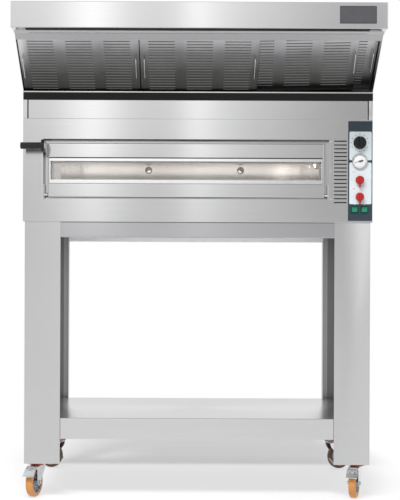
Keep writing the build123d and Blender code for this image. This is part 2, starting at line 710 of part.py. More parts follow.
def gauge():
    """A dial thermometer: a case with a rim and a centre pin, and the needle that turns on the pin."""
    case = rod_y(KNOB_X, (PANEL_FACE - GAUGE_STANDS, PANEL_FACE), GAUGE_Z, GAUGE_R)
    case = case + rod_y(KNOB_X, (PANEL_FACE, PANEL_FACE + GAUGE_BODY_DEPTH), GAUGE_Z, GAUGE_BODY_R)
    case = case - rod_y(KNOB_X, (PANEL_FACE - GAUGE_STANDS - CUT, PANEL_FACE - GAUGE_DIAL), GAUGE_Z,
                        GAUGE_R - GAUGE_WALL)
    pin = rod_y(KNOB_X, (PANEL_FACE - NEEDLE_PIN_END, PANEL_FACE - GAUGE_DIAL), GAUGE_Z,
                NEEDLE_PIN_R - RUNNING)
    keep("gauge_case", case + pin)

    thick, slim, broad = NEEDLE_HALF
    hub_y = (PANEL_FACE - NEEDLE_HUB[1], PANEL_FACE - NEEDLE_HUB[0])
    hub = rod_y(KNOB_X, hub_y, GAUGE_Z, NEEDLE_HUB_R)
    blade = (slab(NEEDLE_BLADE_X, around(0, thick), around(0, slim))
             + slab(NEEDLE_WEIGHT_X, around(0, thick), around(0, broad)))
    blade = Pos(KNOB_X, sum(hub_y) / 2, GAUGE_Z) * Rot(0, -NEEDLE_TILT, 0) * blade
    keep("gauge_needle", hub + blade - rod_y(KNOB_X, grow(hub_y, CUT), GAUGE_Z, NEEDLE_PIN_R))


def switches():
    """Two rocker switches: a frame with sockets for the trunnions, and the lens that rocks in it."""
    frames = []
    inner = SWITCH_BODY / 2 - SWITCH_WALL
    for name, x in zip(("rocker_left", "rocker_right"), SWITCH_X):
        rim = slab(around(x, SWITCH_FRAME / 2), (PANEL_FACE - SWITCH_RIM, PANEL_FACE),
                   around(SWITCH_Z, SWITCH_FRAME / 2))
        body = slab(around(x, SWITCH_BODY / 2), (PANEL_FACE, PANEL_FACE + SWITCH_DEPTH),
                    around(SWITCH_Z, SWITCH_BODY / 2))
        hollow = slab(around(x, inner), (PANEL_FACE - CUT, PANEL_FACE + SWITCH_HOLLOW),
                      around(SWITCH_Z, inner))
        socket = rod_x(around(x, inner + TRUNNION_SOCKET), ROCKER_PIVOT_Y, SWITCH_Z, TRUNNION_R)
        frames.append(rim + body - hollow - socket)
        top, middle, bottom = ROCKER_STANDS
        depth, half = ROCKER_BACK
        rocker = side_plate([(PANEL_FACE - top, SWITCH_Z + ROCKER_H / 2), (PANEL_FACE - middle, SWITCH_Z),
                             (PANEL_FACE - bottom, SWITCH_Z - ROCKER_H / 2),
                             (PANEL_FACE + depth, SWITCH_Z - half), (PANEL_FACE + depth, SWITCH_Z + half)],
                            around(x, ROCKER_W / 2))
        trunnion = rod_x(around(x, inner + TRUNNION_END), ROCKER_PIVOT_Y, SWITCH_Z, TRUNNION_R - RUNNING)
        keep(name, rocker + trunnion)
    keep("switch_frames", frames)


# Door

def door():
    """A drop-down door: folded frame with hinge bushes, bright window trim, panes and inner panel."""
    face = (DOOR_Y[0], DOOR_Y[0] + SHEET)
    shell = slab(DOOR_X, DOOR_Y, DOOR_Z)
    shell = shell - slab(grow(DOOR_X, -SHEET), (face[1], DOOR_Y[1] + CUT), grow(DOOR_Z, -SHEET))
    shell = shell - slab(TRIM_X, grow(face, CUT), TRIM_Z)
    bush_z = (DOOR_Z[0] + SHEET, BUSH_TOP)
    left_bush = slab((DOOR_X[0] + SHEET, DOOR_X[0] + BUSH_LENGTH), BUSH_Y, bush_z)
    right_bush = slab((DOOR_X[1] - BUSH_LENGTH, DOOR_X[1] - SHEET), BUSH_Y, bush_z)
    shell = fuse([shell, left_bush, right_bush])
    for x in ((DOOR_X[0], DOOR_X[0] + BUSH_LENGTH), (DOOR_X[1] - BUSH_LENGTH, DOOR_X[1])):
        shell = shell - rod_x(grow(x, CUT), HINGE_Y, HINGE_Z, HINGE_PIN_R + RUNNING)
    keep("door_frame", shell)

    trim_y = (DOOR_Y[0], DOOR_Y[0] + TRIM_T)
    trim = slab(TRIM_X, trim_y, TRIM_Z) - slab(WINDOW_X, grow(trim_y, CUT), WINDOW_Z)
    window_edges = trim.faces().sort_by(Axis.Y)[0].inner_wires()[0].edges()
    keep("window_trim", chamfer(window_edges, TRIM_BEVEL))

    pane_x, pane_z = grow(WINDOW_X, PANE_EDGE[0]), grow(WINDOW_Z, PANE_EDGE[1])
    keep("door_glass", [slab(pane_x, (y, y + PANE_T), pane_z) for y in PANE_Y])

    inner = slab(grow(DOOR_X, -INNER_PANEL_INSET), INNER_PANEL_Y, grow(DOOR_Z, -INNER_PANEL_INSET))
    hole = slab(grow(WINDOW_X, INNER_PANEL_HOLE[0]), grow(INNER_PANEL_Y, CUT),
                grow(WINDOW_Z, INNER_PANEL_HOLE[1]))
    keep("door_inner_panel", inner - hole)


def door_handle():
    """A bracket screwed to the door's end, and a grip with a disc against the bracket."""
    keep("door_handle_bracket", side_plate(BRACKET_OUTLINE, (DOOR_X[0] - BRACKET_T, DOOR_X[0])))
    disc = rod_x(GRIP_DISC, GRIP_Y, GRIP_Z, GRIP_DISC_R)
    bar = rod_x((GRIP_TIP, GRIP_DISC[0]), GRIP_Y, GRIP_Z, GRIP_R)
    bar = fillet(bar.edges().filter_by(GeomType.CIRCLE).group_by(Axis.X)[0], GRIP_FILLET)
    keep("door_handle_grip", disc + bar)


def hinge_brackets():
    """A plate at each end of the recess, with a boss and the pin that the door turns on."""
    plate_y = HINGE_PLATE_Y
    plate_z = (RECESS_Z[0], RECESS_Z[0] + HINGE_PLATE_H)
    brackets = []
    for wall, side, end in ((RECESS_X[0], 1, DOOR_X[0]), (RECESS_X[1], -1, DOOR_X[1])):
        root = wall + side * HINGE_PLATE_T
        plate = slab(sorted((wall, root)), plate_y, plate_z)
        boss = rod_x(sorted((root, end - side * HINGE_BOSS_GAP)), HINGE_Y, HINGE_Z, HINGE_BOSS_R)
        pin = rod_x(sorted((root, end + side * HINGE_PIN_REACH)), HINGE_Y, HINGE_Z, HINGE_PIN_R)
        brackets.append(fuse([plate, boss, pin]))
    keep("hinge_brackets", brackets)


# Hood

def hood_crown():
    """The tall box along the hood's front, with an air slot in its underside and a bare plate."""
    inner_x = around(0, BODY_HALF - SHEET)
    height = (CROWN_BOTTOM, HOOD_TOP)
    crown = slab(around(0, BODY_HALF), (CROWN_FRONT, CROWN_BACK), height)
    crown = crown - slab(inner_x, (CROWN_FRONT + SHEET, CROWN_BACK + CUT), grow(height, -SHEET))
    crown = crown - slab(AIR_SLOT_X, AIR_SLOT_Y, around(CROWN_BOTTOM, CUT))
    lip = slab(inner_x, (CROWN_BACK - SHEET, CROWN_BACK), (CROWN_LIP, CROWN_BOTTOM + SHEET))
    keep("hood_crown", crown + lip)
    keep("hood_badge_plate", slab(BADGE_X, (CROWN_FRONT - SHEET, CROWN_FRONT), BADGE_Z))


def hood_panels():
    """Side panels with a slanted edge and a post, and the top, rear and lower panels."""
    inner_x = around(0, BODY_HALF - SHEET)
    outline = [(FRONT_Y, OVEN_TOP), (FRONT_Y, GUTTER_TOP), (CROWN_BACK, SLOPE_TOP_Z), (CROWN_BACK, HOOD_TOP),
               (HOOD_REAR, HOOD_TOP), (HOOD_REAR, OVEN_TOP)]
    side = side_plate(outline, (-BODY_HALF, -BODY_HALF + SHEET))
    front_y = (FRONT_Y, FRONT_Y + SHEET)
    low_z = (OVEN_TOP, LOWER_PANEL_TOP)
    keep("hood_side_panels", mirrored(side + slab((-BODY_HALF, -BODY_HALF + POST_W), front_y, low_z)))
    top = slab(inner_x, (CROWN_BACK, HOOD_REAR - SHEET), (HOOD_TOP - SHEET, HOOD_TOP))
    keep("hood_top_panel", top - rod_z(0, COLLAR_Y, around(HOOD_TOP, CUT), COLLAR_R - SHEET))
    keep("hood_rear_panel", slab(inner_x, (HOOD_REAR - SHEET, HOOD_REAR), (OVEN_TOP, HOOD_TOP)))
    keep("hood_lower_panel", slab(around(0, LOWER_PANEL_HALF), front_y, low_z))


def hood_gutter():
    """The trough under the filters, hemmed at its front, with a dark strip below the hem."""
    inner_x = around(0, BODY_HALF - SHEET)
    y = (FRONT_Y, GUTTER_BACK)
    trough = slab(inner_x, y, (GUTTER_BOTTOM, GUTTER_TOP))
    trough = trough - slab(inner_x, grow(y, -SHEET), (GUTTER_BOTTOM + SHEET, GUTTER_TOP + CUT))
    hem_bottom = GUTTER_TOP - GUTTER_HEM
    hem = slab(around(0, BODY_HALF), (FRONT_Y - HEM_STANDS, FRONT_Y), (hem_bottom, GUTTER_TOP))
    strip = slab(around(0, BODY_HALF), (FRONT_Y - STRIP_STANDS, FRONT_Y), (GUTTER_BOTTOM, hem_bottom))
    keep("hood_gutter", [trough + hem, strip])


def exhaust_collar():
    """A flanged spigot for the extract duct."""
    height = (HOOD_TOP, HOOD_TOP + COLLAR_H)
    collar = rod_z(0, COLLAR_Y, height, COLLAR_R)
    collar = collar + rod_z(0, COLLAR_Y, (HOOD_TOP, HOOD_TOP + SHEET), COLLAR_FLANGE_R)
    keep("exhaust_collar", collar - rod_z(0, COLLAR_Y, grow(height, CUT), COLLAR_R - SHEET))


# Filter bank

def on_slope(shape):
    """Places a shape whose Y runs up the filters' slope and whose Z leaves it to the front."""
    outward = (0, -SLOPE_RISE / SLOPE_LENGTH, -SLOPE_RUN / SLOPE_LENGTH)
    return Plane(origin=(0, FRONT_Y, GUTTER_TOP), x_dir=(1, 0, 0), z_dir=outward).location * shape


def filter_rails():
    """A channel along the top of the filters, and the ledge that they stand on."""
    x = around(0, BODY_HALF - SHEET)
    behind = (RAIL_BACK - SHEET, RAIL_BACK)
    top = slab(x, (RAIL_TOP_S[1] - SHEET, RAIL_TOP_S[1]), (behind[0], 0))
    front_wall = slab(x, RAIL_TOP_S, (-SHEET, 0))
    rear_wall = slab(x, RAIL_TOP_S, behind)
    ledge = slab(x, RAIL_LEDGE_S, (RAIL_BACK, RAIL_LEDGE_FRONT))
    keep("filter_rails", [on_slope(fuse([front_wall, top, rear_wall])), on_slope(ledge)])


def wire_handle(x, front):
    """A bent wire that stands out of the filter's face, in line with the slope."""
    low, high = HANDLE_S
    out = front + HANDLE_OUT
    path = FilletPolyline((x, low, front), (x, low, out), (x, high, out), (x, high, front),
                          radius=HANDLE_BEND_R)
    return sweep(Plane(origin=(x, low, front), z_dir=(0, 0, 1)) * Circle(WIRE_R), path=path)


def grease_filter(name, width, front, columns, handles, skew=0.0):
    """A flat filter: a shallow box with rows of slots in its face, and wire handles."""
    left = FILTER_LEFT[name]
    x = (left, left + width)
    box = slab(x, FILTER_S, (front - FILTER_T, front))
    box = box - slab(grow(x, -FILTER_SKIN), grow(FILTER_S, -FILTER_SKIN),
                     (front - FILTER_T + FILTER_SKIN, front - FILTER_SKIN))
    slots = []
    for column in columns:
        slot_x = (left + column, left + column + SLOT_W)
        for row in range(SLOT_ROWS):
            low = SLOT_FIRST + row * SLOT_PITCH
            slots.append(slab(slot_x, (low, low + SLOT_H), (front - SLOT_CUT[0], front + SLOT_CUT[1])))
    solids = [box - slots] + [wire_handle(left + at, front) for at in handles]
    middle = Pos(left + width / 2, sum(FILTER_S) / 2, 0)
    lift = math.sin(math.radians(skew)) * width / 2
    turn = middle * Pos(0, lift, 0) * Rot(0, 0, skew) * middle.inverse()
    keep(name, [on_slope(turn * solid) for solid in solids])


def filters():
    """Two filters in the front track, a third behind the centre one, and a narrow one at the end."""
    inset = HANDLE_INSET
    grease_filter("filter_left", FILTER_W, TRACKS[0], SLOT_COLUMNS, (inset, FILTER_W - inset))
    grease_filter("filter_centre", FILTER_W, TRACKS[0], SLOT_COLUMNS,
                  (CENTRE_HANDLE_INSET, FILTER_W - CENTRE_HANDLE_INSET))
    grease_filter("filter_right", FILTER_W, TRACKS[1], SLOT_COLUMNS, (FILTER_W - inset,), RIGHT_FILTER_SKEW)
    grease_filter("filter_infill", INFILL_W, TRACKS[2], (INFILL_COLUMN,), (INFILL_W - inset,))


stand_legs()
stand_rails()
stand_shelf()
stand_bolts()
casters()
oven_casing()
cable_gland()
recess_pieces()
chamber_liner()
refractory_stones()
heating_elements()
insulation_boards()
steam_outlets()
chamber_lamp()
terminal_block()
control_panel()
keep("thermostat_knob", knob(THERMOSTAT_Z, THERMOSTAT_R, THERMOSTAT_H))
keep("heat_knob_top", knob(HEAT_KNOB_Z[0], HEAT_KNOB_R, HEAT_KNOB_H, HEAT_NOSE))
keep("heat_knob_bottom", knob(HEAT_KNOB_Z[1], HEAT_KNOB_R, HEAT_KNOB_H, HEAT_NOSE))
gauge()
switches()
door()
door_handle()
hinge_brackets()
hood_crown()
hood_panels()
hood_gutter()
exhaust_collar()
filter_rails()
filters()

os.makedirs("parts", exist_ok=True)
for name, solids in nodes.items():
    group = solids[0] if len(solids) == 1 else Compound(children=solids)
    export_step(group, os.path.join("parts", name + ".step"))
print(len(nodes), "nodes")
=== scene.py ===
import math
import bmesh
import bpy
from mathutils import Matrix, Vector


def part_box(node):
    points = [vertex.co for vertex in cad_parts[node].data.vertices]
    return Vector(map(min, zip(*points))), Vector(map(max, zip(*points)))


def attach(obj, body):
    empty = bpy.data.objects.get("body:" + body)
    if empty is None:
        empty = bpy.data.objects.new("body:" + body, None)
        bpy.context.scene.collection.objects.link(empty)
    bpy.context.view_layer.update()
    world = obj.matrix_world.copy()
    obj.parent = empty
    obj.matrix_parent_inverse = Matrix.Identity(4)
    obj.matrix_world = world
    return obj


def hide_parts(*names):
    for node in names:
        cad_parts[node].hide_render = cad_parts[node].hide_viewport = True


# A single-deck electric pizza oven under an extraction hood, on a wheeled stainless stand.
# Metres, +Z up. The front faces -Y.
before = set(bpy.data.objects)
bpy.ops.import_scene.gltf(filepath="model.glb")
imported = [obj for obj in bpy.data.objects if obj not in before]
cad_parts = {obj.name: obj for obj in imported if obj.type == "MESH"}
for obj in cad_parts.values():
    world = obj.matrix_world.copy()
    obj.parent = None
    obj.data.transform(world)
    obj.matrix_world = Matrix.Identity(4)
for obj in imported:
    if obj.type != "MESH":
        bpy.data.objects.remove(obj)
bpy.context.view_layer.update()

# Stand legs
# Four angles folded round the stand's corners from 2 mm stainless sheet, each with a foot plate and a
# cap. The front pair is wider, and the rear pair has a lip for its rail.

LEG_SHEET = 0.002
LEG_FOLD = 0.004
LEG_WIDTH = {"front": 0.154, "rear": 0.109}
FOOT_SHEET = 0.004
RAIL_DEPTH = 0.040
STAND_GREY = (0.575, 0.575, 0.58)
TOUCH = 1e-5                # two places this close are the same one
FRONT, BACK, UP, DOWN = Vector((0, -1, 0)), Vector((0, 1, 0)), Vector((0, 0, 1)), Vector((0, 0, -1))
LEFT, RIGHT = Vector((-1, 0, 0)), Vector((1, 0, 0))
GRAIN_ACROSS = (2.0, 2.0, 260.0)    # brushed lines that run sideways
SIDEWAYS = 0.25                     # and the quarter turn by which they draw reflections out
X, Y, Z = range(3)                  # the axes


class Wire:
    """A node's output. Arithmetic on it adds Math nodes, so that a mask can be written as a sum."""

    def __init__(self, finish, socket):
        self.finish = finish
        self.socket = socket

    def math(self, operation, *values):
        return self.finish.add("ShaderNodeMath", {"operation": operation}, dict(enumerate(values)))

    __add__ = __radd__ = lambda self, other: self.math("ADD", self, other)
    __mul__ = __rmul__ = lambda self, other: self.math("MULTIPLY", self, other)
    __sub__ = lambda self, other: self.math("SUBTRACT", self, other)
    __rsub__ = lambda self, other: self.math("SUBTRACT", other, self)
    __truediv__ = lambda self, other: self.math("DIVIDE", self, other)
    __lt__ = lambda self, other: self.math("LESS_THAN", self, other)
    __gt__ = lambda self, other: self.math("GREATER_THAN", self, other)
    __abs__ = lambda self: self.math("ABSOLUTE", self)


class Finish:
    """A material, or the world, while it is mixed. add() puts in any node and gives back its output."""

    def __init__(self, name, owner=None):
        self.material = owner or bpy.data.materials.new(name)
        self.material.use_nodes = True
        self.tree = self.material.node_tree
        self.tree.nodes.clear()
        self.place = self.add("ShaderNodeTexCoord", output="Object")

    def add(self, kind, settings=None, inputs=None, output=0):
        node = self.tree.nodes.new(kind)
        for key, value in (settings or {}).items():
            if key == "stops":
                self.set_stops(node.color_ramp, value)
            else:
                setattr(node, key, value)
        for key, value in (inputs or {}).items():
            socket = node.inputs[key]
            if isinstance(value, Wire):
                self.tree.links.new(value.socket, socket)
            else:
                socket.default_value = (*value, 1.0) if socket.type == "RGBA" else value
        return Wire(self, node.outputs[output]) if node.outputs else None

    def set_stops(self, ramp, stops):
        ramp.elements.remove(ramp.elements[1])
        ramp.elements[0].position = stops[0][0]
        ramp.elements[0].color = (*stops[0][1], 1.0)
        for position, colour in stops[1:]:
            ramp.elements.new(position).color = (*colour, 1.0)

    def noise(self, scale, stretch=(1, 1, 1), detail=2.0):
        """Noise of about 0.3 to 0.7. It is drawn out along the axes whose stretch is small."""
        place = self.add("ShaderNodeMapping", {}, {"Vector": self.place, "Scale": stretch})
        return self.add("ShaderNodeTexNoise", {}, {"Vector": place, "Scale": scale, "Detail": detail})

    def mix(self, factor, first, second):
        """The second colour over the first, as far as factor says."""
        values = {0: factor, 6: first, 7: second}
        return self.add("ShaderNodeMix", {"data_type": "RGBA"}, values, output=2)

    def ramp(self, factor, *stops):
        return self.add("ShaderNodeValToRGB", {"stops": stops}, {"Fac": factor})

    def split(self, vector):
        """The X, Y and Z of a vector."""
        ends = self.add("ShaderNodeSeparateXYZ", {}, {0: vector}).socket.node.outputs
        return [Wire(self, end) for end in ends]

    def surface(self, inputs, relief=None, depth=0.0):
        """Ends the material in a Principled shader, with relief as a height of up to depth metres."""
        inputs = dict(inputs)
        if relief is not None:
            inputs["Normal"] = self.add("ShaderNodeBump", {}, {"Height": relief, "Distance": depth})
        shader = self.add("ShaderNodeBsdfPrincipled", {}, inputs)
        self.add("ShaderNodeOutputMaterial", {}, {"Surface": shader})
        return self.material


def tint(colour, strength):
    """A colour made darker or lighter."""
    return [min(1.0, part * strength) for part in colour]


def brushed_steel(name, colour, roughness=0.12, drawn=1.0, painted_shade=None, grain=GRAIN_ACROSS):
    """Stainless sheet: fine brushed lines, a few coarser ones, and the clouds that wiping leaves.
    drawn is how far the grain draws reflections out. The function given for painted shade takes the
    X, Y and Z of a place and gives how far the sheet is painted dark there, up to 1."""
    steel = Finish(name)
    fine = steel.noise(3.0, grain, detail=4.0)
    coarse = steel.noise(0.6, grain)
    cloud = steel.noise(3.2, detail=3.0)
    tone = (fine - 0.5) * 0.7 + (coarse - 0.5) * 0.5 + (cloud - 0.5) * 0.5 + 0.5
    sheen = (fine - 0.5) * 0.03 + (cloud - 0.5) * 0.04 + roughness
    colour = steel.mix(tone, tint(colour, 0.96), tint(colour, 1.04))
    # Painted shade: the colour goes towards black as far as the shade function says
    if painted_shade:
        shade_share = painted_shade(*steel.split(steel.place))
        colour = steel.mix(shade_share, colour, (0.030, 0.029, 0.028))
        sheen = shade_share * 0.4 + sheen
    return steel.surface({
        "Base Color": colour,
        "Metallic": 1.0,
        "Roughness": sheen,
        "Anisotropic": drawn,
        "Anisotropic Rotation": SIDEWAYS,
    }, relief=fine * 0.7 + coarse * 0.3, depth=0.00002)


def alone(piece):
    """Selects one piece, and nothing else, and makes it the active one."""
    bpy.ops.object.select_all(action="DESELECT")
    piece.select_set(True)
    bpy.context.view_layer.objects.active = piece


def named(name):
    """Settles the object that was just added: its name, and its place in its mesh."""
    piece = bpy.context.object
    piece.name = piece.data.name = name
    bpy.ops.object.transform_apply(location=True, rotation=True, scale=True)
    return piece


def block(name, low, high):
    """A cube added at its size and place, between two corners."""
    low, high = Vector(low), Vector(high)
    bpy.ops.object.select_all(action="DESELECT")
    bpy.ops.mesh.primitive_cube_add(size=1, location=(low + high) / 2, scale=high - low)
    return named(name)


def pick(piece, test, kind="FACE"):
    """In edit mode, selects the faces whose centre and normal pass a test, or the edges whose ends do."""
    bpy.ops.mesh.select_mode(type=kind)
    bpy.ops.mesh.select_all(action="DESELECT")
    mesh = bmesh.from_edit_mesh(piece.data)
    if kind == "FACE":
        chosen = [face for face in mesh.faces if test(face.calc_center_median(), face.normal)]
    else:
        chosen = [edge for edge in mesh.edges if test(edge.verts[0].co, edge.verts[1].co)]
    for element in chosen:
        element.select_set(True)
    bmesh.update_edit_mesh(piece.data)


def pick_all():
    bpy.ops.mesh.select_all(action="SELECT")


def faces_to(side):
    """A test for the faces that are turned to one side."""
    return lambda centre, normal: normal.dot(side) > 0.99


def near(value, place):
    return abs(value - place) < TOUCH


def runs(a, b, axis):
    """Whether the edge between two points runs along an axis."""
    return abs((b - a).normalized()[axis]) > 0.999


def lies(a, b, axis, place):
    """Whether both ends of an edge lie at a place on an axis."""
    return near(a[axis], place) and near(b[axis], place)


def edit(piece):
    alone(piece)
    bpy.ops.object.mode_set(mode="EDIT")


def done():
    bpy.ops.object.mode_set(mode="OBJECT")


def turn_out():
    """Turns all faces out, and leaves edit mode."""
    pick_all()
    bpy.ops.mesh.normals_make_consistent(inside=False)
    done()


def round_edges(piece, test, radius, segments=4):
    """Rounds the edges that pass a test, or all along an axis, as a brake press folds them."""
    edit(piece)
    pick(piece, test if callable(test) else lambda a, b: runs(a, b, test), "EDGE")
    bpy.ops.mesh.bevel(offset=radius, segments=segments)
    done()
    return piece


def press(piece, side, *steps):
    """Insets the faces on one side, once for each thickness and depth."""
    edit(piece)
    pick(piece, faces_to(side))
    for thickness, depth in steps:
        bpy.ops.mesh.inset(thickness=thickness, depth=depth)
    done()


def tray(name, low, high, side, sheet, fold):
    """Sheet folded to a tray that is open to one side, with its outside folds rounded."""
    low, high = Vector(low), Vector(high)
    piece = block(name, low, high)
    press(piece, side, (sheet, 0), (0, sheet - abs((high - low).dot(side))))
    mouth = max(side.dot(low), side.dot(high))

    def at_corner(point):
        return all(near(point[i], low[i]) or near(point[i], high[i]) for i in range(3))

    def folded(a, b):
        in_mouth = near(a.dot(side), mouth) and near(b.dot(side), mouth)
        return at_corner(a) and at_corner(b) and not in_mouth

    return round_edges(piece, folded, fold)


def apply(piece, kind, **settings):
    """Puts a modifier on a piece, with its settings, and applies it."""
    alone(piece)
    modifier = piece.modifiers.new(kind, kind)
    for key, value in settings.items():
        setattr(modifier, key, value)
    bpy.ops.object.modifier_apply(modifier=modifier.name)


def cut(piece, *cutters, operation="DIFFERENCE"):
    """Cuts a piece with others, which are then thrown away."""
    for cutter in cutters:
        apply(piece, "BOOLEAN", operation=operation, solver="EXACT", object=cutter)
        bpy.data.objects.remove(cutter)
    return piece


def smooth_round(piece, degrees=40):
    """Smooths the faces that meet at less than an angle."""
    alone(piece)
    bpy.ops.object.shade_smooth_by_angle(angle=math.radians(degrees))
    return piece


def deburr(piece, width=0.0004, segments=2):
    """Breaks the cut edges, and smooths what is round while the flats stay flat."""
    apply(piece, "BEVEL", width=width, segments=segments, limit_method="ANGLE", angle_limit=math.radians(40))
    smooth_round(piece)
    apply(piece, "WEIGHTED_NORMAL", keep_sharp=True)
    return piece


def copy(piece, name, place=Matrix.Identity(4)):
    """A copy with its own mesh, moved by a matrix."""
    alone(piece)
    bpy.ops.object.duplicate(linked=False)
    bpy.context.object.matrix_world = place
    return named(name)


def twin(piece, name):
    """The same piece for the other side of X = 0, with its faces turned out again."""
    other = copy(piece, name, Matrix.Scale(-1, 4, RIGHT))
    edit(other)
    turn_out()
    return other


def install(piece, material, body, slot, *nodes):
    """Gives a finished piece its material, and fixes it to the body that carries it."""
    piece.data.materials.clear()
    piece.data.materials.append(material)
    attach(piece, body)
    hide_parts(*nodes)


def install_pair(piece, other, material, slot, *nodes):
    """Fixes a piece of the left side and its twin on the right to the oven."""
    for side in (piece, twin(piece, other)):
        install(side, material, "oven", slot, *nodes)


# Painted shade: the inside of the rear legs is painted dark, most of all in the corner, for the shade and the
# dark reflections there
rear_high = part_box("stand_rear_legs")[1]
IN_LEG = rear_high - Vector((LEG_SHEET, LEG_SHEET, 0)) / 2
CORNER_REACH = 0.081
SHADE_INSIDE, SHADE_CORNER = 0.26, 0.36
leg_steel = {
    "front": brushed_steel("stand_steel", STAND_GREY, roughness=0.19, drawn=0.8),
    "rear": brushed_steel("rear_leg_steel", STAND_GREY, roughness=0.19, drawn=0.8,
                          painted_shade=lambda x, y, z: (y < IN_LEG.y) * (abs(x) < IN_LEG.x)
                          * ((abs(x) > rear_high.x - CORNER_REACH) * SHADE_CORNER + SHADE_INSIDE)),
}
for pair, width in LEG_WIDTH.items():
    low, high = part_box(f"stand_{pair}_legs")
    inner_x = low.x + width
    leg = block(f"{pair}_leg_left", low, (inner_x, high.y, high.z))
    if pair == "front":
        face_y = low.y
        hollow_low = (low.x + LEG_SHEET, low.y + LEG_SHEET, low.z + FOOT_SHEET)
        cut(leg, block("hollow", hollow_low, (inner_x + 1, high.y + 1, high.z - LEG_SHEET)))
    else:
        face_y = high.y
        hollow_low = (low.x + LEG_SHEET, low.y - 1, low.z + FOOT_SHEET)
        cut(leg, block("hollow", hollow_low, (inner_x - LEG_SHEET, high.y - LEG_SHEET, high.z - LEG_SHEET)))
        past_lip = (inner_x - 2 * LEG_SHEET, low.y - 1, low.z + FOOT_SHEET)
        cut(leg, block("past_lip", past_lip, (inner_x + 1, high.y - RAIL_DEPTH, high.z - LEG_SHEET)))
    round_edges(leg, lambda a, b: lies(a, b, Y, face_y) and lies(a, b, X, low.x), LEG_FOLD)
    install_pair(deburr(leg), f"{pair}_leg_right", leg_steel[pair], "stand_steel", f"stand_{pair}_legs")

# Stand rails
# Four channels of the same sheet under the oven, welded between the legs. The rear one turns its web
# to the front.


def extrude(by):
    bpy.ops.mesh.extrude_region_move(TRANSFORM_OT_translate={"value": by})


def trace(name, points):
    """Draws a line through points, by extruding one vertex to the next, and stays in edit mode."""
    points = [Vector(point) for point in points]
    bpy.ops.object.select_all(action="DESELECT")
    bpy.ops.mesh.primitive_plane_add(size=TOUCH, location=points[0])
    piece = named(name)
    bpy.ops.object.mode_set(mode="EDIT")
    bpy.ops.mesh.select_mode(type="VERT")
    pick_all()
    bpy.ops.mesh.merge(type="CENTER")
    for here, there in zip(points, points[1:]):
        extrude(there - here)
    pick_all()
    return piece


def pulled(name, outline, along):
    """A solid pulled out of its outline: traced, filled, and extruded."""
    piece = trace(name, outline)
    bpy.ops.mesh.edge_face_add()
    bpy.ops.mesh.select_mode(type="FACE")
    extrude(along)
    turn_out()
    return piece


def channel_section(web, mouth, low, high, sheet):
    """The outline of a C section, as (depth, height) points from its web to its mouth."""
    inner = web + math.copysign(sheet, mouth - web)
    return [(web, low), (mouth, low), (mouth, low + sheet), (inner, low + sheet),
            (inner, high - sheet), (mouth, high - sheet), (mouth, high), (web, high)]


stand_low, stand_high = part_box("stand_rails")
inner_half = {pair: -stand_low.x - width for pair, width in LEG_WIDTH.items()}
rails = []
for pair, web, mouth in (("front", stand_low.y, stand_low.y + RAIL_DEPTH),
                         ("rear", stand_high.y - RAIL_DEPTH, stand_high.y)):
    section = channel_section(web, mouth, stand_low.z, stand_high.z, LEG_SHEET)
    half = inner_half[pair]
    rail = pulled(f"rail_{pair}", [(-half, y, z) for y, z in section], (2 * half, 0, 0))
    rails.append(round_edges(rail, lambda a, b: runs(a, b, X) and near(a.y, web), LEG_FOLD))
side_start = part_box("stand_front_legs")[1].y
side_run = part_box("stand_rear_legs")[0].y - side_start
section = channel_section(stand_low.x, stand_low.x + RAIL_DEPTH, stand_low.z, stand_high.z, LEG_SHEET)
rail = pulled("rail_left", [(x, side_start, z) for x, z in section], (0, side_run, 0))
rails.append(round_edges(rail, lambda a, b: runs(a, b, Y) and near(a.x, stand_low.x), LEG_FOLD))
rails.append(twin(rail, "rail_right"))
# Painted shade: the front and side rails are a darker copy of the legs' steel, for the shade under the oven
rail_steel = brushed_steel("rail_steel", (0.46, 0.46, 0.47), roughness=0.17)
# Painted light: the rear rail is a near-white, matt copy of the stand's steel, lifting the dark that it
# mirrors from the front rail
rear_rail_steel = brushed_steel("rear_rail_steel", (0.97, 0.97, 0.975), roughness=0.45, drawn=0.0)
for rail in rails:
    steel = rear_rail_steel if rail.name == "rail_rear" else rail_steel
    install(deburr(rail), steel, "oven", "stand_steel", "stand_rails")

# Shelf
# One sheet with its edges turned down by 90 mm. It lies between the sides of the legs, and is bolted
# through them.

low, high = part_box("stand_shelf")
shelf = deburr(tray("shelf", low, high, DOWN, LEG_SHEET, LEG_FOLD))
shelf_steel = brushed_steel("shelf_steel", (0.62, 0.62, 0.625), roughness=0.19, drawn=0.8)
install(shelf, shelf_steel, "oven", "stand_steel", "stand_shelf")

# Stand bolts
# Hexagon heads that hold the shelf to the sides of the legs, and the casters' nuts on their studs.
# All are bright stainless hardware.


def refinish(material, *nodes):
    """The finish of pieces whose shape stays as it was built."""
    for node in nodes:
        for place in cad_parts[node].material_slots:
            place.material = material


def hardware_steel(name, colour, roughness):
    """Turned and pressed small parts: bright, with faint tool marks and a little dirt in them."""
    metal = Finish(name)
    marks = metal.noise(900.0, detail=3.0)
    dirt = metal.noise(60.0, detail=4.0)
    return metal.surface({
        "Base Color": metal.mix(dirt, tint(colour, 0.82), tint(colour, 1.1)),
        "Metallic": 1.0,
        "Roughness": (marks - 0.5) * 0.2 + (dirt - 0.5) * 0.15 + roughness,
    }, relief=marks, depth=0.00004)


bright_hardware = hardware_steel("bright_hardware", (0.68, 0.68, 0.68), 0.25)
refinish(bright_hardware, "stand_bolts")

# Casters
# Swivel casters with a bolted top plate, a dust seal over the ball race, a zinc-plated folded fork,
# and a cast hub with an orange polyurethane tyre. The front two have a foot brake.

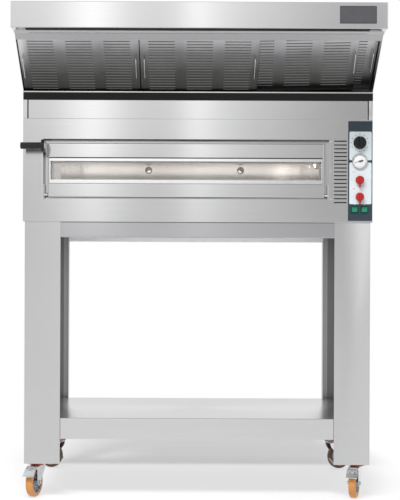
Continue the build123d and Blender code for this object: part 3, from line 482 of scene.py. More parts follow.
# Where each swivel stands, and the way that its wheel trails
CASTERS = {
    "front_left": (-0.694, -0.205, -16.0),
    "front_right": (0.696, -0.205, -18.0),
    "rear_left": (-0.683, 0.448, -118.0),
    "rear_right": (0.683, 0.448, 118.0),
}
BRAKED = ("front_left", "front_right")
PLATE_HALF = (0.043, 0.052)
PLATE_Z = (0.146, 0.150)
PLATE_CORNER = 0.009
WHEEL_R = 0.0625
WHEEL_HALF = 0.016
TREAD_FILLET = 0.009
HUB_R = 0.048
TRAIL = 0.038
FORK_SHEET = 0.003
FORK_HALF = 0.023
FORK_TOP = 0.133
FORK_SIDE = ((0.030, 0.133), (0.024, 0.112), (-0.023, 0.0565), (-0.038, 0.0485), (-0.053, 0.0565))
FORK_PLAIN_END = ((-0.054, 0.118), (-0.054, 0.133))
FORK_LUG_END = ((-0.054, 0.118), (-0.072, 0.124), (-0.072, 0.1325), (-0.060, 0.133))
PEDAL_PIVOT = Vector((0, -0.064, 0.131))
AXLE = Vector((0, -TRAIL, WHEEL_R))
REAR_TYRE_SHADE_Y = (0.0, 0.3)       # painted shade: the rear tyres are painted darker, for the shade under the stand


def turned(name, section, centre, axis, closed=True, steps=48):
    """A turned piece: a section of (radius, height) points, spun round an axis through the centre."""
    centre, axis = Vector(centre), Vector(axis)
    arm = axis.orthogonal().normalized()
    points = [centre + arm * radius + axis * height for radius, height in section]
    piece = trace(name, points + points[:1] if closed else points)
    bpy.ops.mesh.spin(steps=steps, angle=math.tau, center=centre, axis=axis)
    pick_all()
    bpy.ops.mesh.remove_doubles(threshold=TOUCH / 2)
    turn_out()
    return piece


def arc(centre, radius, start, end, count):
    """Points of a section along an arc, from one angle to another, in degrees."""
    angles = [math.radians(start + (end - start) * i / count) for i in range(count + 1)]
    return [(centre[0] + radius * math.cos(angle), centre[1] + radius * math.sin(angle)) for angle in angles]


def rod(name, start, end, radius, sides=32):
    """A cylinder added between two points."""
    start, end = Vector(start), Vector(end)
    bpy.ops.object.select_all(action="DESELECT")
    bpy.ops.mesh.primitive_cylinder_add(
        vertices=sides, radius=radius, depth=(end - start).length, location=(start + end) / 2,
        rotation=(end - start).to_track_quat("Z", "Y").to_euler())
    return named(name)


def join(name, pieces):
    """Several solids as one piece."""
    alone(pieces[0])
    for piece in pieces:
        piece.select_set(True)
    bpy.ops.object.join()
    pieces[0].name = pieces[0].data.name = name
    return pieces[0]


def smooth(finish, value, low, high):
    """A step from 0 to 1 between two values."""
    return finish.add("ShaderNodeMapRange", {"interpolation_type": "SMOOTHSTEP"},
                      {"Value": value, "From Min": low, "From Max": high})


def mottled(name, scale, detail, dark, light, roughness, depth, **constants):
    """A material that one noise takes from a dark colour to a light one and from smooth to rough, by
    a first roughness and what the noise adds to it. The same noise is its relief."""
    finish = Finish(name)
    noise = finish.noise(scale, detail=detail)
    return finish.surface({
        "Base Color": finish.mix(noise, dark, light),
        "Roughness": noise * roughness[1] + roughness[0],
        **{key.replace("_", " "): value for key, value in constants.items()},
    }, relief=noise, depth=depth)


zinc = Finish("zinc")
spangle = zinc.add("ShaderNodeTexVoronoi", {}, {"Vector": zinc.place, "Scale": 260.0}, output="Color")
smear = zinc.noise(45.0, detail=4.0)
patches = zinc.add("ShaderNodeSeparateColor", {}, {"Color": spangle})
zinc_plate = zinc.surface({
    "Base Color": zinc.mix(patches * 0.35 + smear * 0.6, (0.58, 0.60, 0.62), (0.84, 0.85, 0.86)),
    "Metallic": 1.0,
    "Roughness": patches * 0.12 + smear * 0.2 + 0.14,
}, relief=smear, depth=0.0002)

dust_seal_rubber = mottled("dust_seal_rubber", 120.0, 4.0, (0.30, 0.030, 0.018), (0.58, 0.10, 0.065),
                           (0.4, 0.3), 0.0003)

tread = Finish("polyurethane")
swirl = tread.noise(18.0, detail=3.0)
scuff = tread.noise(240.0, detail=4.0)
# Painted shade: towards the rear the tyres' colour is multiplied down to a dark brown
rear_shade = smooth(tread, tread.split(tread.place)[1], *REAR_TYRE_SHADE_Y)
shade_tint = tread.mix(rear_shade, (1, 1, 1), (0.13, 0.11, 0.06))
orange = tread.mix(swirl * 0.7 + scuff * 0.3, (0.42, 0.16, 0.028), (0.78, 0.34, 0.085))
polyurethane = tread.surface({
    "Base Color": tread.add("ShaderNodeMix", {"data_type": "RGBA", "blend_type": "MULTIPLY"},
                            {0: 1.0, 6: orange, 7: shade_tint}, output=2),
    "Roughness": scuff * 0.3 + 0.3,
    "Coat Weight": 0.25,
    "Coat Roughness": 0.3,
}, relief=scuff * 0.6 + swirl * 0.4, depth=0.0004)

cast_hub = Finish("cast_hub")
skin = cast_hub.noise(420.0, detail=5.0)
stain = cast_hub.noise(30.0, detail=3.0)
cast_aluminium = cast_hub.surface({
    "Base Color": cast_hub.mix(stain, (0.22, 0.225, 0.23), (0.52, 0.53, 0.55)),
    "Metallic": 1.0,
    "Roughness": skin * 0.25 + 0.32,
}, relief=skin, depth=0.0005)

plate = block("caster_plate", (-PLATE_HALF[0], -PLATE_HALF[1], PLATE_Z[0]), (*PLATE_HALF, PLATE_Z[1]))
round_edges(plate, Z, PLATE_CORNER, 6)
race = turned("race", [(0.014, 0.1400), (0.027, 0.1400), (0.030, 0.1425), (0.030, 0.146), (0.014, 0.146)],
              (0, 0, 0), UP)
plate = deburr(join("caster_plate", [plate, race]), 0.0006)
seal = turned("caster_seal", [(0.0305, 0.1392), (0.0333, 0.1392), (0.0333, 0.1338), (0.0345, 0.1338),
                              *arc((0.0330, 0.1415), 0.0028, -50, 50, 5), (0.0325, 0.1456), (0.0305, 0.1456)],
              (0, 0, 0), UP)
deburr(seal, 0.0002)

tyre_section = [(HUB_R, -0.0150), (HUB_R + 0.0015, -WHEEL_HALF), (WHEEL_R - TREAD_FILLET, -WHEEL_HALF)]
tyre_section += arc((WHEEL_R - TREAD_FILLET, TREAD_FILLET - WHEEL_HALF), TREAD_FILLET, -75, 0, 5)
tyre_section += arc((WHEEL_R - TREAD_FILLET, WHEEL_HALF - TREAD_FILLET), TREAD_FILLET, 0, 75, 5)
tyre_section += [(WHEEL_R - TREAD_FILLET, WHEEL_HALF), (HUB_R + 0.0015, WHEEL_HALF), (HUB_R, 0.0150)]
tyre = turned("tyre", tyre_section, AXLE, RIGHT, steps=72)
deburr(tyre, 0.0003)
half_hub = [(0.0052, 0.0195), (0.0115, 0.0195), (0.013, 0.018), (0.014, 0.007), (0.018, 0.0055),
            (0.036, 0.0055), (0.041, 0.007), (0.043, 0.0145), (0.0455, 0.0155), (0.0478, 0.0150)]
hub = turned("hub", half_hub + [(radius, -height) for radius, height in reversed(half_hub)], AXLE, RIGHT)
HUB_HOLES, HOLE_CIRCLE, HOLE_R = 6, 0.0275, 0.0078
for index in range(HUB_HOLES):
    angle = math.tau * index / HUB_HOLES
    middle = AXLE + Vector((0, math.cos(angle), math.sin(angle))) * HOLE_CIRCLE
    cut(hub, rod("hole", middle + LEFT * 0.03, middle + RIGHT * 0.03, HOLE_R, 20))
deburr(hub, 0.0005)

head = turned("fork_head", [(0.0065, 0.133), (0.031, 0.133), (0.033, 0.135), (0.033, 0.1375), (0.031, 0.139),
                            (0.0065, 0.139)], (0, 0, 0), UP)
pintle = turned("pintle", [(0.0, 0.1285), (0.009, 0.1285), (0.0105, 0.130), (0.0, 0.130)], (0, 0, 0), UP,
                closed=False)


def fork_of(name, end):
    """Sheet folded over the wheel, its cheeks cut to their shape, with the swivel's head on top."""
    inner = FORK_HALF - FORK_SHEET
    section = channel_section(FORK_TOP, 0.040, -FORK_HALF, FORK_HALF, FORK_SHEET)
    fork = pulled(name, [(x, -0.080, z) for z, x in section], (0, 0.120, 0))
    round_edges(fork, lambda a, b: runs(a, b, Y) and min(a.z, b.z) > 0.1, 0.0035)
    shape = pulled("shape", [(-0.05, y, z) for y, z in FORK_SIDE + end], (0.1, 0, 0))
    round_edges(shape, lambda a, b: runs(a, b, X) and a.z < 0.131, 0.006)
    cut(fork, shape, operation="INTERSECT")
    cut(fork, block("gap", (-inner, -0.09, 0.110), (inner, -0.054, 0.140)))
    return deburr(join(name, [fork, copy(head, "head"), copy(pintle, "pintle")]), 0.0005)


plain_fork = fork_of("plain_fork", FORK_PLAIN_END)
brake_fork = fork_of("brake_fork", FORK_LUG_END)
AXLE_REACH = 0.029
axle_parts = [rod("axle", AXLE + LEFT * AXLE_REACH, AXLE + RIGHT * AXLE_REACH, 0.005)]
for side in (LEFT, RIGHT):
    face = AXLE + side * FORK_HALF
    axle_parts.append(rod("washer", face, face + side * 0.002, 0.010))
    axle_parts.append(rod("nut", face + side * 0.002, face + side * 0.0078, 0.0085, 6))
axle = deburr(join("caster_axle", axle_parts), 0.0006)

PEDAL_TREAD = ((-0.011, -0.001), (-0.011, -0.005), (-0.041, -0.0345), (-0.050, -0.0345), (-0.050, -0.031),
               (-0.0425, -0.0305))
PEDAL_CHEEK = ((0.006, 0.0), (0.0, 0.0062), (-0.012, 0.0022), (-0.036, -0.027), (-0.016, -0.0125),
               (0.0, -0.0062))
tread_outline = [PEDAL_PIVOT + Vector((-0.024, y, z)) for y, z in PEDAL_TREAD]
tread_plate = pulled("tread", tread_outline, (0.048, 0, 0))
round_edges(tread_plate, X, 0.0012)
round_edges(tread_plate, lambda a, b: not runs(a, b, X) and abs(a.x) > 0.023 and a.y < -0.112, 0.001)
cheeks = []
for x in (-0.0185, 0.0165):
    outline = [PEDAL_PIVOT + Vector((x, y, z)) for y, z in PEDAL_CHEEK]
    cheeks.append(round_edges(pulled("cheek", outline, (0.002, 0, 0)), X, 0.0015, 3))
pivot_tube = rod("tube", PEDAL_PIVOT + LEFT * 0.0195, PEDAL_PIVOT + RIGHT * 0.0195, 0.0045)
slope = Vector((0, -0.030, -0.0295)).normalized()
lift = Vector((0, -slope.z, slope.y)) * -1
rivet_at = PEDAL_PIVOT + Vector((0, -0.024, -0.0140))
rivet = turned("rivet", [(0.0, 0.0026), (0.0030, 0.0022), (0.0052, 0.0010), (0.0058, -0.001), (0.0, -0.001)],
               rivet_at, lift, closed=False, steps=24)
ribs = []
for step in (0.010, 0.032):
    at = PEDAL_PIVOT + Vector((0, -0.011, -0.001)) + slope * step
    ribs.append(rod("rib", at + LEFT * 0.020, at + RIGHT * 0.020, 0.0011, 12))
pedal = deburr(join("pedal", [tread_plate, *cheeks, pivot_tube, rivet, *ribs]), 0.0003)

for name, (x, y, turn) in CASTERS.items():
    under = Matrix.Translation((x, y, 0))
    place = under @ Matrix.Rotation(math.radians(turn), 4, "Z")
    fork = brake_fork if name in BRAKED else plain_fork
    install(copy(plate, f"caster_plate_{name}", under), zinc_plate, "oven", "zinc", "caster_top_plates")
    for part, kind, material, carrier, slot, *nodes in (
            (seal, "caster_seal", dust_seal_rubber, "swivel", "zinc"),
            (fork, "fork", zinc_plate, "swivel", "zinc", "caster_fork"),
            (axle, "axle", bright_hardware, "swivel", "zinc"),
            (tyre, "tyre", polyurethane, "wheel", "wheel", "caster_wheel"),
            (hub, "hub", cast_aluminium, "wheel", "wheel"),
            (pedal, "pedal", zinc_plate, "pedal", "zinc", "brake_pedal")):
        if kind != "pedal" or name in BRAKED:
            install(copy(part, f"{kind}_{name}", place), material, f"{carrier}_{name}", slot,
                    *(f"{node}_{name}" for node in nodes))
for master in (plate, seal, tyre, hub, head, pintle, plain_fork, brake_fork, axle, pedal):
    bpy.data.objects.remove(master)

# Oven casing
# Brushed stainless panels of 1.5 mm round the chamber, screwed together at the sides and the rear.
# The base and the top are plain sheets.

CASING_SHEET = 0.0015
SCREW_R = 0.0034
SCREW_H = 0.0016


def screws(name, places, out):
    """Pan-head screws: a short cylinder with a crowned head and a driver's recess, copied along."""
    screw = rod("screw", (0, 0, 0), Vector(out) * SCREW_H, SCREW_R, 16)
    edit(screw)
    pick(screw, faces_to(out))
    bpy.ops.mesh.bevel(offset=SCREW_H * 0.6, segments=3)
    pick(screw, lambda centre, normal: normal.dot(out) > 0.99 and centre.length < SCREW_H * 1.1)
    bpy.ops.mesh.inset(thickness=SCREW_R * 0.15)
    bpy.ops.mesh.inset(thickness=SCREW_R * 0.08, depth=-SCREW_H * 0.7)
    done()
    row = [copy(screw, "screw", Matrix.Translation(place)) for place in places]
    bpy.data.objects.remove(screw)
    return smooth_round(join(name, row), 35)


def add_screws(name, places, out):
    install(screws(name, places, out), bright_hardware, "oven", "fastener")


def spread(start, end, count):
    """Evenly spaced places, with the two ends among them."""
    return [start + (end - start) * i / (count - 1) for i in range(count)]


casing_steel = brushed_steel("casing_steel", (0.62, 0.62, 0.625))
side_steel = brushed_steel("side_steel", (0.61, 0.61, 0.615), roughness=0.22, drawn=0.7)
flat_steel = brushed_steel("flat_steel", (0.6, 0.6, 0.605), roughness=0.3, drawn=0.0,
                           grain=(2.0, 260.0, 260.0))
low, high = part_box("oven_side_panels")
side = deburr(block("oven_side_left", low, (low.x + CASING_SHEET, high.y, high.z)))
install_pair(side, "oven_side_right", side_steel, "casing_steel", "oven_side_panels")
SCREW_INSET = 0.012
places = [(low.x, y, z) for z in (low.z + SCREW_INSET, high.z - SCREW_INSET)
          for y in spread(low.y + 0.05, high.y - 0.03, 6)]
install_pair(screws("side_screws_left", places, LEFT), "side_screws_right", bright_hardware, "fastener")
refinish(flat_steel, "oven_top_panel", "oven_base_panel")
low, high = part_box("oven_rear_panel")
refinish(side_steel, "oven_rear_panel")
add_screws("rear_screws", [(x, high.y, z) for z in (low.z + SCREW_INSET, high.z - SCREW_INSET)
                           for x in spread(low.x + 0.03, high.x - 0.03, 9)], BACK)

# Front panel
# The sheet round the door recess, with the control plate's opening and a row of punched vents at the
# right. A galvanised baffle behind the vents keeps crumbs out of the control bay. It is coloured near
# black, as painted shade for the dark seen through the vents.

VENT_X = (0.584, 0.639)
VENT_TOP = 1.543
VENT_PITCH = 0.01645
VENT_H = 0.005
VENT_COUNT = 17
PANEL_LAND = Vector((0.008, 0, 0.024))      # how far the control plate overlaps its opening
BAFFLE_X = (0.577, 0.6315)
BAFFLE_GAP = 0.009


def repeat(piece, count, step):
    """Copies a piece along a row, with its touching edges merged."""
    apply(piece, "ARRAY", count=count, use_relative_offset=False, use_constant_offset=True,
          constant_offset_displace=step, use_merge_vertices=True, merge_threshold=TOUCH)


low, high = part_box("oven_front_panel")
front_y, front_back = low.y, high.y
front = block("oven_front", low, high)
round_edges(front, lambda a, b: lies(a, b, Y, front_y), 0.0012, 3)
recess_low, recess_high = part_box("recess_frame")
inset = Vector((CASING_SHEET, 0, CASING_SHEET))
recess_low, recess_high = recess_low + inset, recess_high - inset
hole = block("hole", (recess_low.x, low.y - 1, recess_low.z), (recess_high.x, high.y + 1, recess_high.z))
panel_low, panel_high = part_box("control_panel")
opening = block("hole", panel_low + PANEL_LAND - BACK * 0.1, panel_high - PANEL_LAND + BACK * 0.1)
vent = block("vent", (VENT_X[0], low.y - 0.01, VENT_TOP - VENT_H), (VENT_X[1], high.y + 0.01, VENT_TOP))
round_edges(vent, Y, 0.0012, 3)
repeat(vent, VENT_COUNT, (0, 0, -VENT_PITCH))
cut(front, hole, opening, vent)
install(deburr(front, 0.0003), casing_steel, "oven", "casing_steel", "oven_front_panel")

baffle_y = front_back + BAFFLE_GAP
baffle = block("vent_baffle", (BAFFLE_X[0], baffle_y, VENT_TOP - VENT_PITCH * VENT_COUNT),
               (BAFFLE_X[1], baffle_y + CASING_SHEET, VENT_TOP - VENT_PITCH / 2))
edit(baffle)
pick(baffle, faces_to(UP))
extrude((0, 0.012, 0.004))
done()
# Painted shade: the baffle's sheet is near black, for the dark seen through the vents
shaded_baffle = brushed_steel("shaded_baffle", (0.065, 0.065, 0.07), roughness=0.4, drawn=0.0)
install(deburr(baffle), shaded_baffle, "oven", "casing_steel")

# Door recess
# A folded stainless surround behind the front panel, and a cover strip at each end, each held by
# three screws.

SHADED_CEILING_Z, CEILING_SHADE = 1.5452, 0.8  # the recess's ceiling, over the door, is painted black, as painted shade
recess_steel = brushed_steel("recess_steel", (0.55, 0.55, 0.555), roughness=0.16, drawn=0.6,
                             painted_shade=lambda x, y, z: (z > SHADED_CEILING_Z) * CEILING_SHADE)
refinish(recess_steel, "recess_frame")
STRIP_SCREW_Z = (1.291, 1.412, 1.539)
strip_low, strip_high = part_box("recess_side_strips")
strip_width = {"left": recess_low.x - strip_low.x, "right": strip_high.x - recess_high.x}
for end, x in (("left", strip_low.x), ("right", recess_high.x)):
    strip = block(f"recess_strip_{end}", (x, strip_low.y + SCREW_H, strip_low.z),
                  (x + strip_width[end], strip_high.y, strip_high.z))
    round_edges(strip, lambda a, b: runs(a, b, Z) and a.y < strip_high.y - TOUCH, 0.0008, 3)
    install(deburr(strip, 0.0002), casing_steel, "oven", "fastener", "recess_side_strips")
    middle = x + strip_width[end] / 2
    add_screws(f"strip_screws_{end}", [(middle, strip_low.y + SCREW_H, z) for z in STRIP_SCREW_Z], FRONT)

# Baking chamber
# A liner of heat-proof steel, tinted straw by the heat, with stone slabs on its ledge, hairpin
# elements under the slabs and above the liner, and boards of mineral wool all round.

liner = Finish("liner_steel")
grain = liner.noise(3.0, GRAIN_ACROSS, detail=3.0)
heat = liner.noise(3.5, detail=3.0)
liner_steel = liner.surface({
    "Base Color": liner.ramp(heat * 0.8 + grain * 0.2, (0.35, (0.60, 0.59, 0.575)),
                             (0.5, (0.72, 0.71, 0.695)), (0.68, (0.66, 0.635, 0.60))),
    "Metallic": 1.0,
    "Roughness": grain * 0.12 + heat * 0.10 + 0.07,
}, relief=grain, depth=0.00005)
refinish(liner_steel, "chamber_liner")
refinish(hardware_steel("outlet_steel", (0.21, 0.195, 0.185), 0.62), "steam_outlets")

slab = Finish("refractory_stone")
pits = slab.noise(300.0, detail=6.0)
bake = slab.noise(9.0, detail=4.0)
refractory_stone = slab.surface({
    "Base Color": slab.ramp(bake * 0.75 + pits * 0.25, (0.38, (0.30, 0.22, 0.15)),
                            (0.5, (0.62, 0.53, 0.42)), (0.62, (0.74, 0.67, 0.56))),
    "Roughness": pits * 0.15 + 0.78,
}, relief=pits, depth=0.0008)
low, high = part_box("refractory_stones")
STONE_COUNT = 3
STONE_GAP = 0.002
stone_width = (high.x - low.x - STONE_GAP * (STONE_COUNT - 1)) / STONE_COUNT
for index in range(STONE_COUNT):
    left = low.x + index * (stone_width + STONE_GAP)
    stone = block(f"stone_slab_{index + 1}", (left, low.y, low.z), (left + stone_width, high.y, high.z))
    round_edges(stone, Z, 0.004, 3)
    install(deburr(stone, 0.0012), refractory_stone, "oven", "stone", "refractory_stones")

refinish(mottled("element_sheath", 70.0, 5.0, (0.07, 0.065, 0.06), (0.22, 0.19, 0.16), (0.35, 0.3), 0.0003,
                 Metallic=0.8), "heating_elements")

wool = Finish("mineral_wool")
fibres = wool.noise(240.0, (1.0, 1.0, 6.0), detail=8.0)
clump = wool.noise(26.0, detail=4.0)
mineral_wool = wool.surface({
    "Base Color": wool.mix(fibres * 0.6 + clump * 0.4, (0.33, 0.29, 0.17), (0.62, 0.57, 0.42)),
    "Roughness": fibres * 0.1 + 0.88,
}, relief=fibres * 0.7 + clump * 0.3, depth=0.004)
refinish(mineral_wool, "insulation_boards")

# Chamber lamp
# A small stainless lamp body in the chamber's right-hand front corner, with a domed glass that glows
# warm towards the left.

LAMP_BODY = 0.026
lamp_low, lamp_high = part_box("chamber_lamp")
body_x = lamp_high.x - LAMP_BODY
lamp_body = block("lamp_body", (body_x, lamp_low.y, lamp_low.z), lamp_high)
press(lamp_body, LEFT, (0.0025, 0), (0.0012, -0.0015))
install(deburr(lamp_body, 0.0012, 3), liner_steel, "oven", "lamp", "chamber_lamp")
lamp_middle = Vector((body_x, (lamp_low.y + lamp_high.y) / 2, (lamp_low.z + lamp_high.z) / 2))
lamp_section = [(0.0, 0.0060), (0.0045, 0.0056), (0.0085, 0.0042), (0.0110, 0.0020), (0.0120, 0.0),
                (0.0118, -0.0015), (0.0, -0.0015)]
lamp_glass = smooth_round(turned("lamp_glass", lamp_section, lamp_middle, LEFT, closed=False), 45)
lamp_glow = mottled("lamp_glow", 500.0, 2.0, (0.90, 0.82, 0.62), (1.0, 0.94, 0.80), (0.2, 0.2), 0.0002,
                    Emission_Color=(1.0, 0.82, 0.55), Emission_Strength=2.5)
install(lamp_glass, lamp_glow, "oven", "lamp")

WARM = (1.0, 0.98, 0.955)
BULB_STANDS = 0.025
CEILING_AT = (-0.025, 0.30, 1.492)
CEILING_SIZE = (1.12, 0.030)


def stand(name, data, at):
    """A lamp or a camera at its place in the scene."""
    holder = bpy.data.objects.new(name, data)
    holder.location = at
    bpy.context.scene.collection.objects.link(holder)
    return holder


def area_lamp(name, size, energy, at, towards, colour=(1, 1, 1)):
    """A rectangular lamp, which the camera doesn't see."""
    lamp = bpy.data.lights.new(name, "AREA")
    lamp.shape = "RECTANGLE"
    lamp.size, lamp.size_y = size
    lamp.energy = energy
    lamp.color = colour
    holder = stand(name, lamp, at)
    holder.rotation_euler = Vector(towards).to_track_quat("-Z", "Y").to_euler()
    holder.visible_camera = False
    return holder


bulb = bpy.data.lights.new("chamber_bulb", "POINT")
bulb.color = WARM
bulb.energy = 0.08
bulb.shadow_soft_size = 0.010
stand("chamber_bulb", bulb, lamp_middle + LEFT * BULB_STANDS)
# The bulb's light as the chamber's bright ceiling throws it back on the rear wall
area_lamp("chamber_ceiling", CEILING_SIZE, 0.105, CEILING_AT, (0, 1, -0.12), WARM)

# Control bay
# A contactor and a terminal strip on the casing's floor, and the nylon gland for the mains lead in
# the rear panel.


def moulded_plastic(name, colour, roughness, shine=0.5):
    """Moulded plastic: an even colour with a fine texture, and a little dust in it."""
    plastic = Finish(name)
    texture = plastic.noise(1400.0, detail=2.0)
    dust = plastic.noise(40.0, detail=4.0)
    return plastic.surface({
        "Base Color": plastic.mix(dust, tint(colour, 0.88), tint(colour, 1.12)),
        "Roughness": (texture - 0.5) * 0.15 + (dust - 0.5) * 0.15 + roughness,
        "Specular IOR Level": shine,
    }, relief=texture, depth=0.00003)


refinish(moulded_plastic("contactor_plastic", (0.62, 0.62, 0.60), 0.45), "terminal_block")
refinish(moulded_plastic("gland_nylon", (0.03, 0.03, 0.032), 0.5), "cable_gland")

# Control plate
# A 2 mm plate, printed slate blue, with a pale field behind the knobs. The field is split beside the
# dial, and carries a plain scale round the thermostat and short marks beside the heat knobs.

FIELD_X = (0.6496, 0.7447)
FIELD_Z = (1.2705, 1.5815)
FIELD_CORNER = 0.006
KNOB_X = 0.694
THERMOSTAT_Z = 1.534
GAUGE_Z = 1.454
HEAT_KNOB_Z = (1.374, 1.302)
SWITCH_X = (0.6724, 0.7148)
SWITCH_Z = 1.2466
SPLIT_HALF = 0.0050
SCALE_R = 0.0375
SCALE_TICKS = 11
SCALE_SPAN = 300.0

printed = Finish("printed_plate")
across, _, height = printed.split(printed.place)


def inside(low, high, corner):
    """A mask that is 1 inside a rectangle with rounded corners, drawn in X and Z."""
    reach = [abs(value - (a + b) / 2) - ((b - a) / 2 - corner)
             for value, a, b in ((across, low[0], high[0]), (height, low[1], high[1]))]
    out_x, out_z = [value.math("MAXIMUM", value, 0.0) for value in reach]
    distance = (out_x * out_x + out_z * out_z).math("SQRT", out_x * out_x + out_z * out_z)
    return distance < corner


def either(*masks):
    total = masks[0]
    for mask in masks[1:]:
        total = total.math("MAXIMUM", total, mask)
    return total


def polar(x, z):
    """Distance from a point of the plate, and the angle round it in turns, clockwise from the bottom."""
    dx, dz = across - x, height - z
    distance = dx.math("SQRT", dx * dx + dz * dz)
    return distance, dx.math("ARCTAN2", dx * -1.0, dz * -1.0) / math.tau


def on_tick(steps, half_width):
    """A mask that is 1 near each whole number."""
    return abs(steps - steps.math("ROUND", steps)) < half_width


def dash(x, z, half_x=0.0022, half_z=0.0007):
    """A mask of a short mark, 4.4 mm wide if nothing else is said."""
    return (abs(across - x) < half_x) * (abs(height - z) < half_z)


upper = inside((FIELD_X[0], GAUGE_Z + SPLIT_HALF), (FIELD_X[1], FIELD_Z[1]), FIELD_CORNER)
lower = inside((FIELD_X[0], FIELD_Z[0]), (FIELD_X[1], GAUGE_Z - SPLIT_HALF), FIELD_CORNER)
distance, turns = polar(KNOB_X, THERMOSTAT_Z)
ticks = (abs(distance - SCALE_R) < 0.0022) * on_tick(turns * (360.0 / SCALE_SPAN * (SCALE_TICKS - 1)), 0.085)
grey_marks = either(ticks, *(dash(KNOB_X + side * 0.033, z) for z in HEAT_KNOB_Z for side in (-1, 1)))
red_marks = either(*(dash(KNOB_X - 0.029 + step * 0.004, z + 0.0345, 0.0012, 0.0022)
                     for z in HEAT_KNOB_Z for step in range(3)))
light_marks = either(*(dash(x, SWITCH_Z + 0.0215) for x in SWITCH_X))
weave = printed.noise(1200.0, detail=2.0)
film = printed.noise(14.0, detail=3.0)
slate = printed.mix(film, (0.020, 0.033, 0.046), (0.029, 0.045, 0.060))
pale = printed.mix(film, (0.54, 0.60, 0.62), (0.64, 0.69, 0.71))
colour = printed.mix(either(upper, lower), slate, pale)
for marks, ink in ((grey_marks, (0.22, 0.24, 0.26)), (red_marks, (0.55, 0.22, 0.22)),
                   (light_marks, (0.6, 0.66, 0.7))):
    colour = printed.mix(marks, colour, ink)
printed_plate = printed.surface({
    "Base Color": colour,
    "Roughness": weave * 0.12 + film * 0.1 + 0.3,
    "Specular IOR Level": 0.3,
}, relief=weave, depth=0.00002)

low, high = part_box("control_panel")
face_y = low.y
plate = block("control_plate", low, high)
round_edges(plate, Y, 0.003, 4)
SHAFT_HOLE, GAUGE_HOLE, SWITCH_HOLE = 0.0032, 0.0285, 0.0145
for z, radius, sides in ((THERMOSTAT_Z, SHAFT_HOLE, 32), (HEAT_KNOB_Z[0], SHAFT_HOLE, 32),
                         (HEAT_KNOB_Z[1], SHAFT_HOLE, 32), (GAUGE_Z, GAUGE_HOLE, 64)):
    middle = Vector((KNOB_X, face_y, z))
    cut(plate, rod("hole", middle + FRONT * 0.01, middle + BACK * 0.01, radius, sides))
for x in SWITCH_X:
    middle, half = Vector((x, face_y, SWITCH_Z)), Vector((SWITCH_HOLE, 0.01, SWITCH_HOLE))
    cut(plate, block("hole", middle - half, middle + half))
install(deburr(plate, 0.0003), printed_plate, "oven", "control_plate", "control_panel")

# Knobs
# Moulded knobs on 6 mm shafts: a black one with a ribbed skirt for the thermostat, and two red ones
# with a pointer for the top and bottom heat. Each has a bar to turn it by.

SHAFT_R = 0.003
SHAFT_IN = 0.020
KNOB_GAP = 0.0012               # from the plate to the knobs


def knob(name, z, radius, height, ribs, nose=0.0):
    """A turned body with ribs cut round its skirt, and a bar across it that narrows to its top."""
    centre = (KNOB_X, face_y, z)
    section = [(0.0, height), (radius * 0.62, height),
               *arc((radius * 0.78, height - 0.003), 0.003, 90, 10, 4), (radius * 0.90, 0.0062),
               *arc((radius - 0.0012, 0.0048), 0.0012, 90, 0, 3), (radius, KNOB_GAP), (0.0, KNOB_GAP)]
    body = turned("knob_body", section, centre, FRONT, closed=False, steps=64)
    for index in range(ribs):
        angle = math.tau * index / ribs
        at = Vector(centre) + Vector((math.cos(angle), 0, math.sin(angle))) * radius * 0.96
        cut(body, rod("flute", at + FRONT * (height + 0.01), at + FRONT * 0.0064, 0.0016, 10))
    bar_top = height + 0.004
    bar = block("bar", (KNOB_X - radius * 0.24, face_y - bar_top, z - radius * 0.78),
                (KNOB_X + radius * 0.24, face_y - height + 0.003, z + radius * 0.78))
    edit(bar)
    pick(bar, faces_to(FRONT))
    bpy.ops.transform.resize(value=(0.72, 1, 0.93), center_override=(KNOB_X, face_y - bar_top, z))
    done()
    round_edges(bar, lambda a, b: abs(a.y - b.y) > TOUCH or a.y < face_y - bar_top + TOUCH, 0.0013, 3)
    shaft = rod("shaft", (KNOB_X, face_y - 0.0015, z), (KNOB_X, face_y + SHAFT_IN, z), SHAFT_R, 24)
    solids = [body, bar, shaft]
    if nose:
        outline = [(KNOB_X + x, face_y - KNOB_GAP, z + down) for x, down in
                   ((-0.0042, radius * -0.5), (0.0042, radius * -0.5), (0.0034, 0.003 - nose), (0.0, -nose),
                    (-0.0034, 0.003 - nose))]
        pointer = pulled("pointer", outline, (0, 0.0034 - height, 0))
        solids.append(round_edges(pointer, lambda a, b: max(a.y, b.y) < face_y - 0.006, 0.0012, 3))
    return deburr(join(name, solids), 0.0003)


black_plastic = moulded_plastic("black_plastic", (0.008, 0.0085, 0.010), 0.34, shine=0.22)
red_plastic = moulded_plastic("red_plastic", (0.37, 0.013, 0.013), 0.26, shine=0.4)
thermostat = knob("thermostat", THERMOSTAT_Z, 0.0275, 0.022, 20)
install(thermostat, black_plastic, "thermostat_knob", "black_knob", "thermostat_knob")
tick = block("thermostat_mark", (KNOB_X - 0.0011, face_y - 0.0227, THERMOSTAT_Z + 0.0135),
             (KNOB_X + 0.0011, face_y - 0.0215, THERMOSTAT_Z + 0.0225))
white_print = moulded_plastic("white_print", (0.75, 0.77, 0.78), 0.4)
install(deburr(tick, 0.0002), white_print, "thermostat_knob", "gauge_case")
for body, z in zip(("heat_knob_top", "heat_knob_bottom"), HEAT_KNOB_Z):
    install(knob(body + "_cap", z, 0.018, 0.019, 0, nose=0.032), red_plastic, body, "red_knob", body)

# Dial thermometer
# A pressed steel case with a rolled rim and a white enamelled dial, and a black needle with a broad
# counterweight on the centre pin.

